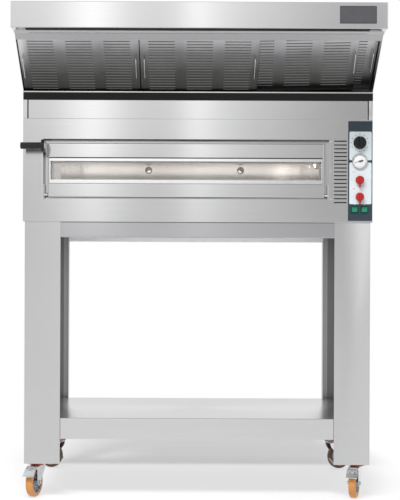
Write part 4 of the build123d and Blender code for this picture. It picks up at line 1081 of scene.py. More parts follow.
GAUGE_R = 0.0335
DIAL_R = 0.0302
gauge_centre = (KNOB_X, face_y, GAUGE_Z)
rim = turned("gauge_rim", [(0.0300, 0.0020), (0.0300, 0.0056), *arc((0.0318, 0.0062), 0.0017, 180, 0, 8),
                           (GAUGE_R, 0.0), (0.0300, 0.0)], gauge_centre, FRONT, steps=72)
gauge_steel = hardware_steel("gauge_steel", (0.50, 0.50, 0.51), 0.2)
install(smooth_round(rim), gauge_steel, "oven", "gauge_case", "gauge_case")
case = turned("gauge_dial", [(0.0, 0.0026), (DIAL_R - 0.0012, 0.0026), (DIAL_R, 0.0020), (DIAL_R, 0.0),
                             (0.0282, 0.0), (0.0282, -0.034), (0.0262, -0.036), (0.0, -0.036)],
              gauge_centre, FRONT, closed=False, steps=72)
enamel = Finish("dial_enamel")
across, _, height = enamel.split(enamel.place)
distance, turns = polar(KNOB_X, GAUGE_Z)
DIAL_TICKS = 40
fine_ticks = on_tick(turns * DIAL_TICKS, 0.10) * (abs(distance - 0.0262) < 0.0013)
bold_ticks = on_tick(turns * (DIAL_TICKS / 4), 0.045) * (abs(distance - 0.0252) < 0.0024)
on_scale = abs(turns) > 0.13
speck = enamel.noise(80.0, detail=3.0)
white = enamel.mix(speck, (0.68, 0.69, 0.69), (0.77, 0.78, 0.78))
dial_enamel = enamel.surface({
    "Base Color": enamel.mix(either(fine_ticks, bold_ticks) * on_scale, white, (0.06, 0.06, 0.065)),
    "Roughness": speck * 0.15 + 0.28,
}, relief=speck, depth=0.00002)
install(smooth_round(case, 30), dial_enamel, "oven", "gauge_case")

NEEDLE_TILT = 14.0
needle_y = face_y - 0.0044
HALF_NEEDLE = [(-0.020, 0.0005), (0.0035, 0.0009), (0.0045, 0.0034), (0.0145, 0.0030)]
other_half = [(x, -z) for x, z in reversed(HALF_NEEDLE)]
outline = [(x, 0, z) for x, z in [(-0.0215, 0.0)] + HALF_NEEDLE + other_half]
blade = pulled("needle_blade", outline, (0, 0.0008, 0))
cap = turned("needle_cap", [(0.0016, -0.0010), (0.0042, -0.0010), (0.0042, 0.0008), (0.0030, 0.0016),
                            (0.0016, 0.0018)], (0, 0.0, 0), FRONT, steps=32)
needle = deburr(join("dial_needle", [blade, cap]), 0.0002)
place = Matrix.Translation((KNOB_X, needle_y, GAUGE_Z)) @ Matrix.Rotation(math.radians(-NEEDLE_TILT), 4, "Y")
set_needle = copy(needle, "dial_pointer", place)
bpy.data.objects.remove(needle)
install(set_needle, moulded_plastic("needle_paint", (0.012, 0.012, 0.013), 0.4), "gauge_needle", "needle",
        "gauge_needle")
pin_section = [(0.0, 0.0066), (0.0009, 0.0064), (0.00145, 0.0060), (0.00145, 0.0020), (0.0, 0.0020)]
pin = turned("gauge_pin", pin_section, gauge_centre, FRONT, closed=False, steps=24)
install(deburr(pin, 0.0001), bright_hardware, "oven", "fastener")

# Rocker switches
# Snap-in switches: a dark glossy frame with a bevelled rim, and a green lens that tips on trunnions,
# with the fine ribs that catch a fingertip.

FRAME_HALF = 0.017
RIM_STANDS = 0.0025
HOUSING_HALF = 0.0142
HOUSING_WALL = 0.0014
LENS_HALF = (0.0115, 0.0105)
LENS_STANDS = (0.005, 0.004, 0.003)     # top edge, middle and bottom edge, in front of the plate
frame_gloss = moulded_plastic("switch_frame_gloss", (0.004, 0.055, 0.046), 0.25, shine=0.3)
green_lens = mottled("green_lens", 160.0, 3.0, (0.005, 0.14, 0.08), (0.012, 0.22, 0.13), (0.18, 0.15),
                     0.00003, Emission_Color=(0.03, 0.45, 0.28), Emission_Strength=0.05)
for body, x in zip(("rocker_left", "rocker_right"), SWITCH_X):
    rim, box, well = (block(name, (x - half, face_y - front, SWITCH_Z - half),
                            (x + half, face_y + back, SWITCH_Z + half))
                      for name, half, front, back in (("rim", FRAME_HALF, RIM_STANDS, 0),
                                                      ("box", HOUSING_HALF, 0, 0.026),
                                                      ("well", HOUSING_HALF - HOUSING_WALL, 0.01, 0.022)))
    press(rim, FRONT, (0.0016, 0.0002))
    round_edges(rim, Y, 0.0022, 4)
    housing = cut(cut(rim, box, operation="UNION"), well)
    install(deburr(housing, 0.0003), frame_gloss, "oven", "switch_frame", "switch_frames")
    top, middle, bottom = LENS_STANDS
    half_x, half_z = LENS_HALF
    outline = [(x - half_x, face_y - out, SWITCH_Z + z) for out, z in
               ((top, half_z), (middle - 0.0004, half_z * 0.35), (middle - 0.0004, -half_z * 0.35),
                (bottom, -half_z), (-0.009, -0.007), (-0.009, 0.007))]
    rocker = pulled(body + "_lens", outline, (2 * half_x, 0, 0))
    round_edges(rocker, lambda a, b: a.y < face_y and b.y < face_y, 0.0009, 3)
    grips = []
    for out, z in ((0.0046, 0.0082), (0.0043, 0.0062), (0.0029, -0.0082), (0.0032, -0.0062)):
        middle = Vector((x, face_y - out, SWITCH_Z + z))
        grips.append(rod("grip", middle + LEFT * half_x * 0.7, middle + RIGHT * half_x * 0.7, 0.0006, 8))
    rocker = deburr(join(body + "_lens", [rocker, *grips]), 0.0001)
    install(rocker, green_lens, body, "green_lens", body)

# Door
# A drop-down door: a folded frame with the hinge bushes in its lower corners, a bright bevelled trim
# on a black gasket round the window, two panes, and an inner panel that closes its back.

BUSH_Y = (-0.292, -0.274)
BUSH_LENGTH = 0.020
BUSH_TOP = 1.317
HINGE_PIN = Vector((0, -0.284, 1.307))
HINGE_PIN_R = 0.004
PIN_SLACK = 0.00005
WINDOW_LOW = Vector((-0.6315, 0, 1.3735))
WINDOW_HIGH = Vector((0.529, 0, 1.450))
TRIM_BEVEL = Vector((0.0015, 0, 0.0020))
TRIM_DROP = 0.0022

door_steel = brushed_steel("door_steel", (0.63, 0.63, 0.635))
door_low, door_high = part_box("door_frame")
trim_low, trim_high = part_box("window_trim")
door = tray("door_shell", door_low, door_high, BACK, CASING_SHEET, 0.004)
# The dark joint that shows between the trim and the frame, wider along the top
JOINT_LOW, JOINT_HIGH = Vector((0.0003, 0.01, 0.0012)), Vector((0.0003, 0.003, 0.0022))
cut(door, block("opening", trim_low - JOINT_LOW, trim_high + JOINT_HIGH))
for x in (door_low.x + CASING_SHEET, door_high.x - BUSH_LENGTH):
    bush = block("bush", (x, BUSH_Y[0], door_low.z + CASING_SHEET / 2),
                 (x + BUSH_LENGTH - CASING_SHEET, BUSH_Y[1], BUSH_TOP))
    cut(door, bush, operation="UNION")
for x in (door_low.x, door_high.x):
    centre = Vector((x, HINGE_PIN.y, HINGE_PIN.z))
    cut(door, rod("bore", centre + LEFT * 0.03, centre + RIGHT * 0.03, HINGE_PIN_R + PIN_SLACK))
install(deburr(door, 0.0003), door_steel, "door", "door_steel", "door_frame")

polished = Finish("polished_trim")
haze = polished.noise(30.0, detail=3.0)
scratches = polished.noise(5.0, GRAIN_ACROSS, detail=4.0)
polished_trim = polished.surface({
    "Base Color": polished.mix(haze, (0.84, 0.84, 0.845), (0.93, 0.93, 0.935)),
    "Metallic": 1.0,
    "Roughness": haze * 0.08 + scratches * 0.1 + 0.06,
}, relief=scratches, depth=0.00001)
trim = block("window_surround", trim_low, trim_high + DOWN * TRIM_DROP)
round_edges(trim, lambda a, b: lies(a, b, Y, trim_low.y), 0.0008, 3)
mouth_y = trim_low.y - 0.0005
bevelled = block("cutter", WINDOW_LOW + BACK * mouth_y, WINDOW_HIGH + BACK * (trim_high.y + 0.0002))
edit(bevelled)
for side in (LEFT, RIGHT, UP, DOWN):
    outmost = max(WINDOW_LOW.dot(side), WINDOW_HIGH.dot(side))
    pick(bevelled, lambda a, b: lies(a, b, Y, mouth_y) and near(a.dot(side), outmost)
         and near(b.dot(side), outmost), "EDGE")
    bpy.ops.transform.translate(value=side * abs(TRIM_BEVEL.dot(side)))
done()
cut(trim, bevelled)
install(deburr(trim, 0.0003), polished_trim, "door", "bright_trim", "window_trim")
GASKET = 0.005
gasket_y = door_low.y + CASING_SHEET
gasket = block("window_gasket", (trim_low.x - GASKET, gasket_y, trim_low.z - GASKET),
               (trim_high.x + GASKET, gasket_y + GASKET / 2, trim_high.z + GASKET))
cut(gasket, block("opening", trim_low - BACK, trim_high + BACK))
# The same black serves the window's gasket and, as painted shade, the beads in the hood's joints
seal_and_shade_black = moulded_plastic("seal_and_shade_black", (0.010, 0.010, 0.010), 0.6, shine=0.2)
install(deburr(gasket, 0.0003), seal_and_shade_black, "door", "black_knob")
# Painted light: the inner panel is a pale, matt copy of the door's steel, lifting the shade along the
# window's edge
inner_steel = brushed_steel("inner_steel", (0.80, 0.79, 0.77), roughness=0.45, drawn=0.0)
refinish(inner_steel, "door_inner_panel")

pane = Finish("door_glass")
smudge = pane.noise(6.0, detail=5.0)
facing = pane.add("ShaderNodeFresnel", {}, {"IOR": 1.5})
clear = pane.add("ShaderNodeBsdfTransparent", {}, {"Color": (0.985, 0.976, 0.970)})
gloss = pane.add("ShaderNodeBsdfGlossy", {}, {"Color": (1, 1, 1), "Roughness": 0.02})
mixed = pane.add("ShaderNodeMixShader", {}, {0: facing * 0.9 + smudge * 0.03, 1: clear, 2: gloss})
pane.add("ShaderNodeOutputMaterial", {}, {"Surface": mixed})
refinish(pane.material, "door_glass")

# Door handle and hinges
# A bracket screwed to the door's left end carries a black grip that stands out past the casing. The
# door turns on two pins in bosses on the recess's hinge plates.

BRACKET_T = 0.005
BRACKET = ((-0.268, 1.466), (-0.293, 1.466), (-0.368, 1.490), (-0.394, 1.496), (-0.394, 1.519),
           (-0.374, 1.524), (-0.268, 1.526))
GRIP_Y, GRIP_Z, GRIP_R = -0.380, 1.5075, 0.0145
DISC_R = 0.027
x = door_low.x - BRACKET_T
bracket = pulled("handle_bracket", [(x, y, z) for y, z in BRACKET], (BRACKET_T, 0, 0))
round_edges(bracket, lambda a, b: runs(a, b, X) and a.y < -0.29, 0.005, 4)
install(deburr(bracket, 0.0008, 3), recess_steel, "door", "door_steel", "door_handle_bracket")
grip_low, grip_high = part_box("door_handle_grip")
reach = grip_high.x - grip_low.x
disc = 0.012
grip_section = [(0.0, reach), (GRIP_R - 0.004, reach), *arc((GRIP_R - 0.003, reach - 0.003), 0.003, 90, 0, 4),
                (GRIP_R - 0.0004, disc + 0.040), (GRIP_R, disc + 0.006),
                *arc((GRIP_R + 0.004, disc + 0.0035), 0.0035, 180, 270, 4),
                (DISC_R - 0.003, disc), *arc((DISC_R - 0.0025, disc - 0.0025), 0.0025, 90, 0, 4),
                (DISC_R, 0.0015), (DISC_R - 0.0015, 0.0), (0.0, 0.0)]
grip = turned("handle_grip", grip_section, (grip_high.x, GRIP_Y, GRIP_Z), LEFT, closed=False, steps=64)
bakelite = moulded_plastic("bakelite", (0.006, 0.006, 0.0065), 0.2, shine=0.35)
install(smooth_round(grip, 35), bakelite, "door", "grip", "door_handle_grip")
refinish(bright_hardware, "hinge_brackets")

# Hood crown
# The tall box along the hood's front: folded fascia, top and underside in one sheet, with an air slot
# in the underside and a bare dark plate riveted to its right end.

CROWN_BOTTOM = 1.947
AIR_SLOT_LOW, AIR_SLOT_HIGH = Vector((-0.695, -0.643, 1.94)), Vector((0.683, -0.598, 1.96))
hood_steel = brushed_steel("hood_steel", (0.62, 0.62, 0.625))
low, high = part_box("hood_crown")
BEHIND_FASCIA = low.y + CASING_SHEET / 2
OVER_FLOOR, UNDER_TOP = CROWN_BOTTOM + CASING_SHEET / 2, high.z - CASING_SHEET / 2
IN_ENDS = (low.x + CASING_SHEET / 2, high.x - CASING_SHEET / 2)
# Painted shade: inside the crown, behind the fascia and between its ends, the sheet is painted black, for the
# dark seen through the air slot
crown_steel = brushed_steel("crown_steel", (0.62, 0.62, 0.625), painted_shade=lambda x, y, z: (
    y > BEHIND_FASCIA) * (z > OVER_FLOOR) * (z < UNDER_TOP) * (x > IN_ENDS[0]) * (x < IN_ENDS[1]))
crown = tray("crown_shell", (low.x, low.y, CROWN_BOTTOM), high, BACK, CASING_SHEET, 0.003)
slot = block("slot", AIR_SLOT_LOW, AIR_SLOT_HIGH)
round_edges(slot, Z, 0.004, 4)
cut(crown, slot)
lip = block("lip", (low.x + CASING_SHEET, high.y - CASING_SHEET, low.z),
            (high.x - CASING_SHEET, high.y, CROWN_BOTTOM + CASING_SHEET / 2))
cut(crown, lip, operation="UNION")
install(deburr(crown, 0.0003), crown_steel, "oven", "hood_steel", "hood_crown")
low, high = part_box("hood_badge_plate")
badge = block("badge_plate", low, high)
round_edges(badge, Y, 0.003, 4)
press(badge, FRONT, (0.003, 0), (0.0006, -0.0005))
badge_paint = moulded_plastic("badge_paint", (0.072, 0.070, 0.076), 0.4, shine=0.15)
install(deburr(badge, 0.0003), badge_paint, "oven", "badge", "hood_badge_plate")

# Hood casing
# Side panels with a slanted front edge and a narrow post below it, a top sheet with the duct's hole,
# a rear sheet, and the lower front panel between the posts, with black beads in the joints to them as
# painted shade.

POST_W = 0.0175
SLOPE_FOOT = Vector((0, -0.300, 1.752))
SLOPE_HEAD = Vector((0, -0.572, 1.965))
low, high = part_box("hood_side_panels")
outline = [(low.x, y, z) for y, z in ((front_y, low.z), (front_y, SLOPE_FOOT.z), (SLOPE_HEAD.y, SLOPE_HEAD.z),
                                      (SLOPE_HEAD.y, high.z), (high.y, high.z), (high.y, low.z))]
hood_side = pulled("hood_side_left", outline, (CASING_SHEET, 0, 0))
lower_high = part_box("hood_lower_panel")[1]
post = block("post", (low.x, front_y, low.z), (low.x + POST_W, front_y + CASING_SHEET, lower_high.z))
cut(hood_side, post, operation="UNION")
round_edges(hood_side, lambda a, b: lies(a, b, X, low.x) and lies(a, b, Y, front_y), 0.0012, 3)
deburr(hood_side, 0.0003)
install_pair(hood_side, "hood_side_right", side_steel, "hood_steel", "hood_side_panels")
places = [(low.x, y, high.z - SCREW_INSET) for y in spread(-0.52, high.y - 0.03, 7)]
places += [(low.x, high.y - SCREW_INSET, z) for z in spread(low.z + 0.04, high.z - 0.06, 4)]
install_pair(screws("hood_screws_left", places, LEFT), "hood_screws_right", bright_hardware, "fastener")
refinish(flat_steel, "hood_top_panel")
refinish(side_steel, "hood_rear_panel")
JOINT = 0.0035
low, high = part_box("hood_lower_panel")
lower_panel = block("hood_front_sheet", low + RIGHT * JOINT, high + LEFT * JOINT)
round_edges(lower_panel, lambda a, b: lies(a, b, Y, low.y), 0.0009, 3)
install(deburr(lower_panel, 0.0002), hood_steel, "oven", "hood_steel", "hood_lower_panel")
# Painted shade: black beads stand in the joints at the lower panel's ends, for the shade in them
BEAD_BACK = Vector((0, 0.0006, 0))
for side, x in (("left", low.x), ("right", high.x - JOINT)):
    bead = block(f"hood_joint_shade_{side}", Vector((x, low.y, low.z)) + BEAD_BACK, (x + JOINT, high.y, high.z))
    round_edges(bead, lambda a, b: runs(a, b, Z) and a.y < low.y + 0.001, 0.0006, 3)
    install(deburr(bead, 0.0002), seal_and_shade_black, "oven", "black_knob")

# Grease gutter
# A folded trough under the filters, its front edge hemmed over, with a black strip along its front.

HEM = 0.007
low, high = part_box("hood_gutter")
inner = low.x + CASING_SHEET
section = channel_section(low.z, high.z, front_y, high.y, CASING_SHEET)
trough = pulled("gutter_trough", [(inner, y, z) for z, y in section], (-2 * inner, 0, 0))
round_edges(trough, lambda a, b: runs(a, b, X) and near(a.z, low.z), 0.002)
hem = block("hem", (low.x, low.y, high.z - HEM), (high.x, front_y, high.z))
round_edges(hem, lambda a, b: runs(a, b, X) and a.y < front_y - TOUCH, 0.0026, 5)
install(deburr(join("gutter", [trough, hem]), 0.0002), hood_steel, "oven", "hood_steel", "hood_gutter")
STRIP_STANDS = 0.0012
strip = block("gutter_strip", (low.x, front_y - STRIP_STANDS, low.z), (high.x, front_y, high.z - HEM))
round_edges(strip, lambda a, b: runs(a, b, X) and a.y < front_y - TOUCH, 0.0008, 3)
strip_black = moulded_plastic("strip_black", (0.010, 0.0095, 0.010), 0.42, shine=0.2)
install(deburr(strip, 0.0002), strip_black, "oven", "hood_steel")

# Duct collar
# A spun spigot with a beaded rim and a flange, riveted to the hood's top.

COLLAR_R = 0.100
FLANGE_R = 0.122
RIVETS, RIVET_CIRCLE = 8, 0.112
collar_low, collar_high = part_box("exhaust_collar")
collar_middle = Vector(((collar_low.x + collar_high.x) / 2, (collar_low.y + collar_high.y) / 2, collar_low.z))
rise = collar_high.z - collar_low.z
collar_section = [(COLLAR_R - CASING_SHEET, 0.0), (FLANGE_R, 0.0), (FLANGE_R, CASING_SHEET),
                  (COLLAR_R + 0.003, CASING_SHEET), (COLLAR_R, 0.0045), (COLLAR_R - 0.0005, rise - 0.016),
                  *arc((COLLAR_R - 0.0022, rise - 0.012), 0.0022, -60, 60, 5),
                  (COLLAR_R - 0.0005, rise - 0.008), (COLLAR_R - 0.0005, rise), (COLLAR_R - 0.002, rise),
                  (COLLAR_R - 0.002, 0.004)]
collar = turned("duct_collar", collar_section, collar_middle, UP, steps=96)
install(deburr(collar, 0.0002), side_steel, "oven", "hood_steel", "exhaust_collar")
angles = [math.tau * i / RIVETS for i in range(RIVETS)]
places = [collar_middle + UP * CASING_SHEET + Vector((math.cos(angle), math.sin(angle), 0)) * RIVET_CIRCLE
          for angle in angles]
add_screws("collar_rivets", places, UP)

# Filter bank
# Grease filters of slotted stainless sheet, with the lower lip of each slot turned in, folded to a
# shallow pan and backed by a core. Bent wires are their handles. They stand on a ledge and lean in a
# top channel.

FILTER_WIDTH = {"left": 0.500, "centre": 0.4965, "right": 0.495, "infill": 0.1955}
FILTER_LEFT = {"left": -0.7465, "centre": -0.2445, "right": 0.171, "infill": 0.551}
FILTER_TRACK = {"left": -0.008, "centre": -0.008, "right": -0.029, "infill": -0.050}
FILTER_COLUMNS = {"left": 3, "centre": 3, "right": 3, "infill": 1}
FILTER_EDGE = {"left": 0.014, "centre": 0.012, "right": 0.0105, "infill": 0.0175}
HANDLES = {"left": (0.0165, 0.4855), "centre": (0.0185, 0.4795), "right": (0.482,), "infill": (0.179,)}
FILTER_SKEW = {"right": 1.4}
FILTER_RUN = (-0.025, 0.285)
FILTER_DEPTH = 0.018
FILTER_SHEET = 0.0008
CELL = (0.158, 0.0152)
SLOT = (0.109, 0.005)
SLOT_ROWS = 18
ROWS_START = 0.004 - (CELL[1] - SLOT[1]) / 2
LIP = 0.002
LIP_DEEP = 0.001
LIP_TILT = 0.15                 # the lips are painted one even grey: lighter than the face low down, as painted light, and darker high up, as painted shade
CORE_INSET = 0.0015
CORE_THICK = 0.004
HANDLE_RUN = (0.080, 0.190)
HANDLE_OUT = 0.024
HANDLE_BEND = 0.012
HANDLE_R = 0.002

slope_up = (SLOPE_HEAD - SLOPE_FOOT).normalized()
slope_out = RIGHT.cross(slope_up)
on_slope = Matrix((RIGHT, slope_up, slope_out)).transposed().to_4x4()
on_slope.translation = SLOPE_FOOT


def filter_face(name, columns):
    """The slotted face of one filter. A cell has one slot, whose lower lip is turned in, and is copied in
    rows and columns."""
    bpy.ops.object.select_all(action="DESELECT")
    bpy.ops.mesh.primitive_plane_add(size=1)
    face = bpy.context.object
    face.scale = (*CELL, 1)
    face.location = (CELL[0] / 2, CELL[1] / 2, 0)
    named(name)
    edit(face)
    slot_top = (CELL[1] + SLOT[1]) / 2
    slot_left, slot_right = (CELL[0] - SLOT[0]) / 2, (CELL[0] + SLOT[0]) / 2
    lip_top = slot_top - SLOT[1] + LIP
    for at, normal in ((slot_left, RIGHT), (slot_right, RIGHT), (slot_top - SLOT[1], BACK), (lip_top, BACK),
                       (slot_top, BACK)):
        pick_all()
        bpy.ops.mesh.bisect(plane_co=normal * at, plane_no=normal)

    def pick_slot(low, high):
        pick(face, lambda centre, normal: slot_left < centre.x < slot_right and low < centre.y < high)

    pick_slot(lip_top, slot_top)
    bpy.ops.mesh.delete(type="FACE")
    pick_slot(lip_top - LIP, lip_top)
    bpy.ops.mesh.split()
    pick(face, lambda a, b: near((a + b).x / 2, CELL[0] / 2) and lies(a, b, Y, lip_top), "EDGE")
    bpy.ops.transform.translate(value=(0, 0, -LIP_DEEP))
    pick_all()
    bpy.ops.mesh.remove_doubles(threshold=TOUCH)
    done()
    repeat(face, SLOT_ROWS, (0, CELL[1], 0))
    repeat(face, columns, (CELL[0], 0, 0))
    return face


def grease_filter(name):
    """A slotted face whose margins are drawn out and folded back to a pan, with its core."""
    width, edge = FILTER_WIDTH[name], FILTER_EDGE[name]
    columns = FILTER_COLUMNS[name]
    face = filter_face(f"filter_{name}_pan", columns)
    rows_end = SLOT_ROWS * CELL[1]
    margins = ((LEFT, 0.0, edge), (RIGHT, columns * CELL[0], width - edge - columns * CELL[0]),
               (FRONT, 0.0, ROWS_START - FILTER_RUN[0]),
               (BACK, rows_end, FILTER_RUN[1] - ROWS_START - rows_end))
    edit(face)
    for side, at, margin in margins:
        pick(face, lambda a, b: near(a.dot(side), at) and near(b.dot(side), at), "EDGE")
        extrude(side * margin)
    low, high = (-edge, FILTER_RUN[0] - ROWS_START), (width - edge, FILTER_RUN[1] - ROWS_START)

    def outer(a, b):
        on_side = any(lies(a, b, axis, end[axis]) for axis in (X, Y) for end in (low, high))
        return on_side and lies(a, b, Z, 0.0)

    pick(face, outer, "EDGE")
    extrude((0, 0, -FILTER_DEPTH))
    done()
    round_edges(face, outer, 0.0025, 3)
    apply(face, "SOLIDIFY", thickness=FILTER_SHEET, offset=-1)
    smooth_round(face)
    core_low = (low[0] + CORE_INSET, low[1] + CORE_INSET, -FILTER_DEPTH)
    core = block("core", core_low, (high[0] - CORE_INSET, high[1] - CORE_INSET, CORE_THICK - FILTER_DEPTH))
    for side in (UP, DOWN):
        press(core, side, (0.012, 0), (0.001, -0.001))
    return face, core


def bent_wire(name, points, radius, bend):
    """Round wire along points: a traced line with its corners rounded, thickened as a curve."""
    trace(name, points)
    bpy.ops.mesh.bevel(offset=bend, segments=6, affect="VERTICES")
    done()
    bpy.ops.object.convert(target="CURVE")
    wire = bpy.context.object
    wire.data.bevel_depth = radius
    wire.data.bevel_resolution = 4
    wire.data.use_fill_caps = True
    bpy.ops.object.convert(target="MESH")
    return smooth_round(bpy.context.object, 50)


filter_metal = Finish("filter_steel")
across, _, height = filter_metal.split(filter_metal.place)
film = filter_metal.noise(7.0, detail=4.0)
lines = filter_metal.noise(3.0, GRAIN_ACROSS, detail=3.0)
# Painted shade: the filter face is painted darker towards the foot of its slope, for the dark that it mirrors
# there, with a little random film mixed in
rise = (height - SLOPE_FOOT.z) / (SLOPE_HEAD.z - SLOPE_FOOT.z)
shade_down_slope = rise + (film - 0.5) * 0.25
face_colour = filter_metal.ramp(shade_down_slope, (0.0, (0.055, 0.053, 0.050)), (0.3, (0.095, 0.093, 0.090)),
                                (0.6, (0.21, 0.21, 0.215)), (0.95, (0.62, 0.62, 0.64)))
# Painted reflection: the top of the left end is painted lighter, for the bright floor that it mirrors past
# the oven's side
painted_reflection_end = (1.0 - smooth(filter_metal, across, -0.742, -0.700)) * smooth(filter_metal, height, 1.80, 1.93)
face_colour = filter_metal.mix(painted_reflection_end, face_colour, (0.70, 0.70, 0.71))
facing = filter_metal.add("ShaderNodeNewGeometry", output="True Normal")
up_slope = filter_metal.add("ShaderNodeVectorMath", {"operation": "DOT_PRODUCT"}, {0: facing, 1: slope_up},
                            output="Value")
filter_steel = filter_metal.surface({
    # Painted light and shade: faces tilted up the slope, the lips, take one even grey in place of the face's
    # colour
    "Base Color": filter_metal.mix(up_slope > LIP_TILT, face_colour, (0.20, 0.20, 0.195)),
    "Metallic": 1.0,
    "Roughness": (film - 0.5) * 0.2 + (lines - 0.5) * 0.1 + 0.34,
    "Anisotropic": 0.4,
    "Anisotropic Rotation": SIDEWAYS,
}, relief=lines, depth=0.00003)
# Painted shade: the core is coloured near black, for the dark seen through the slots
core_steel = hardware_steel("core_steel", (0.035, 0.034, 0.032), 0.5)
wire_steel = hardware_steel("wire_steel", (0.62, 0.62, 0.62), 0.22)

for name in FILTER_WIDTH:
    face, core = grease_filter(name)
    track = FILTER_TRACK[name]
    place = on_slope @ Matrix.Translation((FILTER_LEFT[name] + FILTER_EDGE[name], ROWS_START, track))
    skew = FILTER_SKEW.get(name, 0.0)
    if skew:
        middle = Vector((FILTER_LEFT[name] + FILTER_WIDTH[name] / 2, sum(FILTER_RUN) / 2, 0))
        lift = math.sin(math.radians(skew)) * FILTER_WIDTH[name] / 2
        turn = Matrix.Translation(middle + BACK * lift) @ Matrix.Rotation(math.radians(skew), 4, "Z")
        place = on_slope @ turn @ Matrix.Translation(-middle) @ on_slope.inverted() @ place
    wires = []
    for at in HANDLES[name]:
        x = at - FILTER_EDGE[name]
        low, high = (run - ROWS_START for run in HANDLE_RUN)
        points = [(x, low, -0.0005), (x, low, HANDLE_OUT), (x, high, HANDLE_OUT), (x, high, -0.0005)]
        wires.append(bent_wire("wire", points, HANDLE_R, HANDLE_BEND))
    body = f"filter_{name}"
    for master, ending, steel, *nodes in (
            (face, "face", filter_steel, body), (deburr(core), "core", core_steel),
            (join("wires", wires), "handles", wire_steel)):
        install(copy(master, f"{body}_{ending}", place), steel, body, "filter_steel", *nodes)
        bpy.data.objects.remove(master)
IN_CROWN_Z, IN_CROWN = 1.950, 0.85      # painted shade: the channel is painted dark inside the crown
channel_steel = brushed_steel("channel_steel", (0.43, 0.43, 0.435), roughness=0.3, drawn=0.5,
                              painted_shade=lambda x, y, z: (z > IN_CROWN_Z) * IN_CROWN)
refinish(channel_steel, "filter_rails")

# Camera
# At waist height in front of the oven, a little to the left of its middle, with a long lens.

CAMERA_AT = (-0.050, -5.000, 0.994)
LENS = 78.9
ROLL = 0.23
PRINCIPAL = (185.8, 268.0)      # the pixel straight ahead, in a picture of 400 by 500
lens_data = bpy.data.cameras.new("camera")
lens_data.lens = LENS
lens_data.sensor_width = 36.0
lens_data.shift_x = (200.0 - PRINCIPAL[0]) / 500.0
lens_data.shift_y = (PRINCIPAL[1] - 250.0) / 500.0
camera = stand("camera", lens_data, CAMERA_AT)
camera.rotation_euler = (math.radians(90), math.radians(-ROLL), 0)
bpy.context.scene.camera = camera

# Studio
# A white floor that keeps the oven's soft shadow and fades to plain white further out, a large lamp
# above the camera, and a white room. Sheet steel shows the room's two light strips, and the grey
# towards its right.

FLOOR_REACH = (0.78, 1.06)      # where the floor fades, with lengths front to back halved
FLOOR_MIDDLE_Y = 0.45
SHADOW_Y = (0.50, 0.62)         # the floor keeps more of the shadow behind the casters
MATT_SHARE = (0.40, 0.80)
ROOM_LIGHT = 0.60               # what the room gives to matt surfaces

bpy.ops.object.select_all(action="DESELECT")
bpy.ops.mesh.primitive_plane_add(size=60)
floor = named("studio_floor")
paper = Finish("floor_paper")
floor_x, floor_y, _ = paper.split(paper.place)
half_y = (floor_y - FLOOR_MIDDLE_Y) * 0.5
reach = floor_x.math("SQRT", floor_x * floor_x + half_y * half_y)
behind = smooth(paper, floor_y, *SHADOW_Y)
matt_share = behind * (MATT_SHARE[1] - MATT_SHARE[0]) + MATT_SHARE[0]
matt_share = matt_share * (1.0 - smooth(paper, reach, *FLOOR_REACH))
matt = paper.add("ShaderNodeBsdfDiffuse", {}, {"Color": (0.94, 0.94, 0.945)})
white = paper.add("ShaderNodeEmission", {}, {"Color": (1, 1, 1), "Strength": 1.0})
paper.add("ShaderNodeOutputMaterial", {}, {
    "Surface": paper.add("ShaderNodeMixShader", {}, {0: matt_share, 1: white, 2: matt})})
floor.data.materials.append(paper.material)

KEY_AT, KEY_AIM = Vector((-1.0, -3.4, 5.2)), Vector((0, 0.1, 0.8))
area_lamp("key_box", (3.2, 1.4), 300.0, KEY_AT, KEY_AIM - KEY_AT).visible_glossy = False

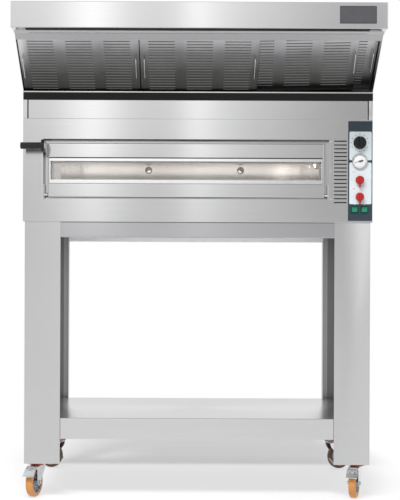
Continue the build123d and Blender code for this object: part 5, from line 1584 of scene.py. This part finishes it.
# Brightness of the room by the bearing in degrees, 0 straight in front and growing to the right
ROOM_STRIPS = ((-12.0, 0.92), (-8.5, 0.95), (-7.0, 1.05), (-5.9, 1.45), (-4.9, 1.75), (-3.8, 1.35),
               (-2.8, 1.03), (-1.6, 0.97), (-0.6, 1.02), (0.1, 1.40), (0.65, 1.60), (1.3, 1.30),
               (2.2, 1.08), (3.3, 0.92), (4.9, 0.78), (6.5, 0.63), (8.4, 0.50), (10.0, 0.45),
               (12.0, 0.80), (18.0, 1.30), (45.0, 1.30), (60.0, 0.92))
STRIP_SCALE = 2.0               # a ramp's colours end at 1
PLAIN_WALL = 0.92
HIGH_LOSS, LOW_LOSS, HIGH_GLOW = 0.22, 0.55, 0.43
# Heights over the horizon, in degrees, at which the strips change
STRIPS_START, LOW_DOWN, HIGH_UP, STRIPS_END = (0.3, 2.3), (2.0, 5.5), (10.2, 13.0), (32.0, 50.0)

room = Finish("white_room", bpy.data.worlds.new("white_room"))
bpy.context.scene.world = room.material
bearing_in = room.add("ShaderNodeTexCoord", output="Generated")
to_x, to_y, to_z = room.split(bearing_in)
bearing = to_x.math("ARCTAN2", to_x, to_y * -1.0) * math.degrees(1.0)
rise = to_z.math("ARCSINE", to_z) * math.degrees(1.0)
first, last = ROOM_STRIPS[0][0], ROOM_STRIPS[-1][0]
strips = room.ramp((bearing - first) / (last - first), *[
    ((at - first) / (last - first), [level / STRIP_SCALE] * 3) for at, level in ROOM_STRIPS])
strips = room.add("ShaderNodeSeparateColor", {}, {"Color": strips}) * STRIP_SCALE
# The strips are paler and softer high up, dimmer low down, and end at the floor and overhead
high_up = smooth(room, rise, *HIGH_UP)
low_down = 1.0 - smooth(room, rise, *LOW_DOWN)
strips = strips * (1.0 - high_up * HIGH_LOSS) * (1.0 - low_down * LOW_LOSS) + high_up * HIGH_GLOW
at_strips = smooth(room, rise, *STRIPS_START) * (1.0 - smooth(room, rise, *STRIPS_END))
shown = (strips - PLAIN_WALL) * at_strips + PLAIN_WALL
direct, through, mirrored = (room.add("ShaderNodeLightPath", output=f"Is {ray} Ray")
                             for ray in ("Camera", "Transmission", "Glossy"))
seen = direct.math("MAXIMUM", direct, through)
light = seen + (1.0 - seen) * (mirrored * shown + (1.0 - mirrored) * ROOM_LIGHT)
backdrop = room.add("ShaderNodeBackground", {}, {"Color": (1, 1, 1), "Strength": light})
room.add("ShaderNodeOutputWorld", {}, {"Surface": backdrop})
bpy.context.scene.view_settings.view_transform = "Standard"
